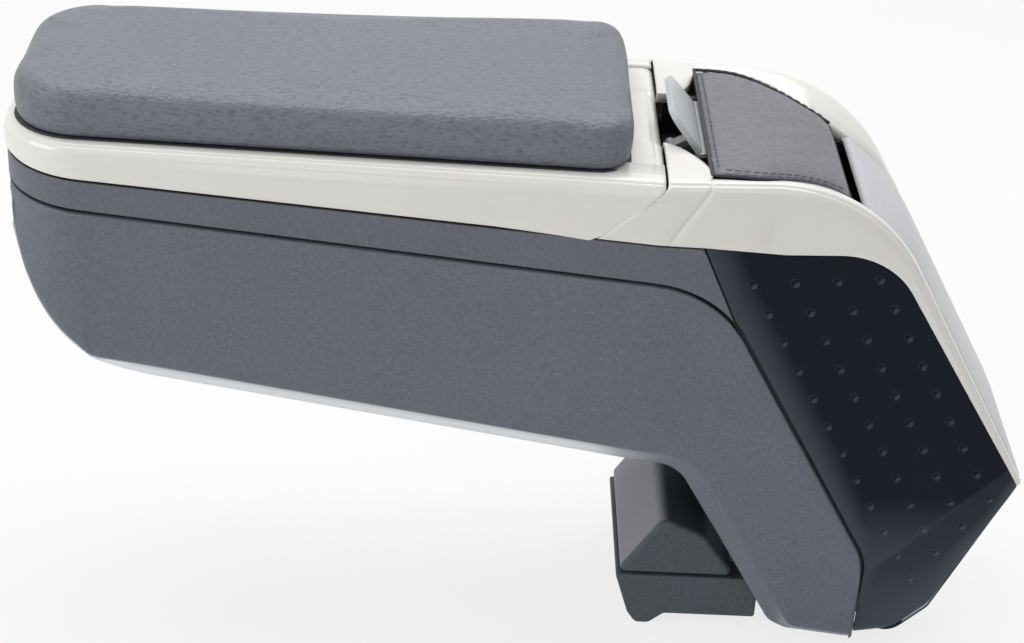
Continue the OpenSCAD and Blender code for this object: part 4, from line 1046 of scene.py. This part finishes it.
lower = rounded([[-29.6, 18.7, 1], [-23.5, 0, 1], [-20, -5, 3], [-14.5, -5, 3], [-8.5, 0, 2], [28.5, 0, 1],
                 [28.5, 18.7, 1]], 8)
upper = rounded([[-30, 19.5, 2.6], [19.5, 19.5, 2.6], [5.5, 38.5, 7], [-12.5, 46.5, 4.5]], 12)
for name, outline, edge in (("foot_lower_cover", lower, 1.0), ("foot_upper_cover", upper, 2.4)):
    points = slab(outline, 36, edge)
    x, y, z = np.moveaxis(points, -1, 0)
    # Painted highlight: the upper cover's front slope and top take the lighter second colour.
    slope_painted_highlight = np.clip((-10 - x) / 3, 0, 1) * (z > 20.5) * (np.abs(y) < 34.5)
    piece = grid(name + "_moulding", points, foot_grey, "foot", flip=True, ring=True, cap=True, weld=True,
                 painted_tone=slope_painted_highlight)
    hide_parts(name)
print("foot covers made")

# %% Lever paddle
PIN_X, PIN_Z, PADDLE_ANGLE = -9.5, 198, 51
PADDLE_LONG, PADDLE_HALF, PADDLE_TAPER, PADDLE_CORNER, PADDLE_THICK = 20.5, 23, 4, 7, 1.2


def paddle_points():
    """Slab along the paddle's slope: the half width falls from the pin to the free edge, where two quarter
    circles round its corners."""
    angle = math.radians(180 - PADDLE_ANGLE)
    ax = np.array([math.cos(angle), math.sin(angle)])
    up = np.array([ax[1], -ax[0]])
    reach = PADDLE_LONG * np.sin(np.linspace(0, math.pi / 2, 40))
    corner = np.clip((reach - PADDLE_LONG + PADDLE_CORNER) / PADDLE_CORNER, 0, 1)
    width = PADDLE_HALF - PADDLE_TAPER * reach / PADDLE_LONG - PADDLE_CORNER * (1 - np.sqrt(1 - corner ** 2))
    ring = np.linspace(0, 2 * math.pi, 64, endpoint=False)
    cy = np.sign(np.cos(ring)) * np.abs(np.cos(ring)) ** 0.2
    cz = np.sign(np.sin(ring)) * np.abs(np.sin(ring)) ** 0.5
    to_end = np.clip((reach - PADDLE_LONG + PADDLE_THICK) / PADDLE_THICK, 0, 1)
    thin = PADDLE_THICK * np.sqrt(np.clip(1 - to_end ** 2, 0.02, 1))
    lift = thin[:, None] * cz[None]
    x = PIN_X + ax[0] * reach[:, None] + up[0] * lift
    z = PIN_Z + ax[1] * reach[:, None] + up[1] * lift
    return xyz(x, width[:, None] * cy[None], z)


paddle = grid("lever_paddle_moulding", paddle_points(), lever_grey, "lever", ring=True, cap=True, weld=True)
print("paddle made")

# %% [markdown]
# The stage is a pale floor and a soft studio: one big lamp above, a weaker one at the left, a faint
# one in front and a white room.
# The room and the floor look white to the camera and in reflections, but give only a plain light themselves.

# %% Camera
def look():
    """Camera of the photograph: 29.5 degrees up, 1.5 degrees to the left, rolled by 3.3 degrees."""
    e, a, r = (math.radians(v) for v in (29.5, 1.5, 3.3))
    level = np.array([[1, 0, 0], [0, math.sin(e), math.cos(e)], [0, math.cos(e), -math.sin(e)]])
    turn = np.array([[math.cos(a), -math.sin(a), 0], [math.sin(a), math.cos(a), 0], [0, 0, 1]])
    roll = np.array([[math.cos(r), math.sin(r), 0], [-math.sin(r), math.cos(r), 0], [0, 0, 1]])
    rows = roll @ level @ turn
    place = np.array([-0.076, 0, 0.113]) - rows[2] * 0.8696
    data = bpy.data.cameras.new("photograph view")
    data.lens, data.sensor_width = 2200 / 1024 * 36, 36
    camera = bpy.data.objects.new("photograph view", data)
    scene.collection.objects.link(camera)
    camera.matrix_world = Matrix(((rows[0][0], rows[1][0], -rows[2][0], place[0]),
                                  (rows[0][1], rows[1][1], -rows[2][1], place[1]),
                                  (rows[0][2], rows[1][2], -rows[2][2], place[2]), (0, 0, 0, 1)))
    scene.camera = camera


look()
scene.view_settings.view_transform = "Standard"


# %% Lamps
def lamp(name, place, aim, size, power):
    """Rectangular soft lamp that looks from a place at a point."""
    data = bpy.data.lights.new(name, "AREA")
    data.shape, data.size, data.size_y, data.energy = "RECTANGLE", size[0], size[1], power
    obj = bpy.data.objects.new(name, data)
    scene.collection.objects.link(obj)
    obj.location = place
    obj.rotation_euler = (Vector(aim) - Vector(place)).to_track_quat("-Z", "Y").to_euler()


lamp("top softbox", (-0.05, 0.3, 1.15), (-0.05, 0, 0.15), (1.4, 0.8), 11)
lamp("left softbox", (-1.1, -0.5, 0.6), (-0.1, 0, 0.12), (0.7, 0.7), 4.5)
lamp("front fill", (0.1, -1.4, 0.5), (0, 0, 0.1), (1.2, 0.6), 2)


# %% Room and floor
def seen_directly(tree, value):
    """A node that gives value for rays from the camera, in reflections and through glass, else 0."""
    path = tree.nodes.new("ShaderNodeLightPath")
    one = tree.nodes.new("ShaderNodeMath")
    two = tree.nodes.new("ShaderNodeMath")
    share = tree.nodes.new("ShaderNodeMath")
    one.operation = two.operation = "MAXIMUM"
    share.operation = "MULTIPLY"
    share.inputs[1].default_value = value
    link(tree, path, "Is Camera Ray", one, 0)
    link(tree, path, "Is Glossy Ray", one, 1)
    link(tree, one, "Value", two, 0)
    link(tree, path, "Is Transmission Ray", two, 1)
    link(tree, two, "Value", share, 0)
    return share


def white_room(level=0.38):
    """World that looks white and lights the object at a lower level."""
    world = bpy.data.worlds.new("white room")
    scene.world = world
    world.use_nodes = True
    tree = world.node_tree
    background = tree.nodes["Background"]
    background.inputs["Color"].default_value = (1, 1, 1, 1)
    total = tree.nodes.new("ShaderNodeMath")
    total.operation = "ADD"
    total.inputs[1].default_value = level
    link(tree, seen_directly(tree, 1 - level), "Value", total, 0)
    link(tree, total, "Value", background, "Strength")


def pale_floor():
    """Large plane just under the foot's lug."""
    low = -0.0052
    mesh = bpy.data.meshes.new("floor")
    mesh.from_pydata([(-4, -4, low), (4, -4, low), (4, 4, low), (-4, 4, low)], [], [(0, 1, 2, 3)])
    floor = bpy.data.objects.new("floor", mesh)
    scene.collection.objects.link(floor)
    material, tree, shader = node_material("pale floor", (0.85, 0.85, 0.85), 0.7)
    glow = tree.nodes.new("ShaderNodeEmission")
    blend = tree.nodes.new("ShaderNodeMixShader")
    link(tree, seen_directly(tree, 0.78), "Value", blend, "Fac")
    tree.links.new(shader.outputs["BSDF"], blend.inputs[1])
    tree.links.new(glow.outputs["Emission"], blend.inputs[2])
    tree.links.new(blend.outputs["Shader"], tree.nodes["Material Output"].inputs["Surface"])
    mesh.materials.append(material)


white_room()
pale_floor()
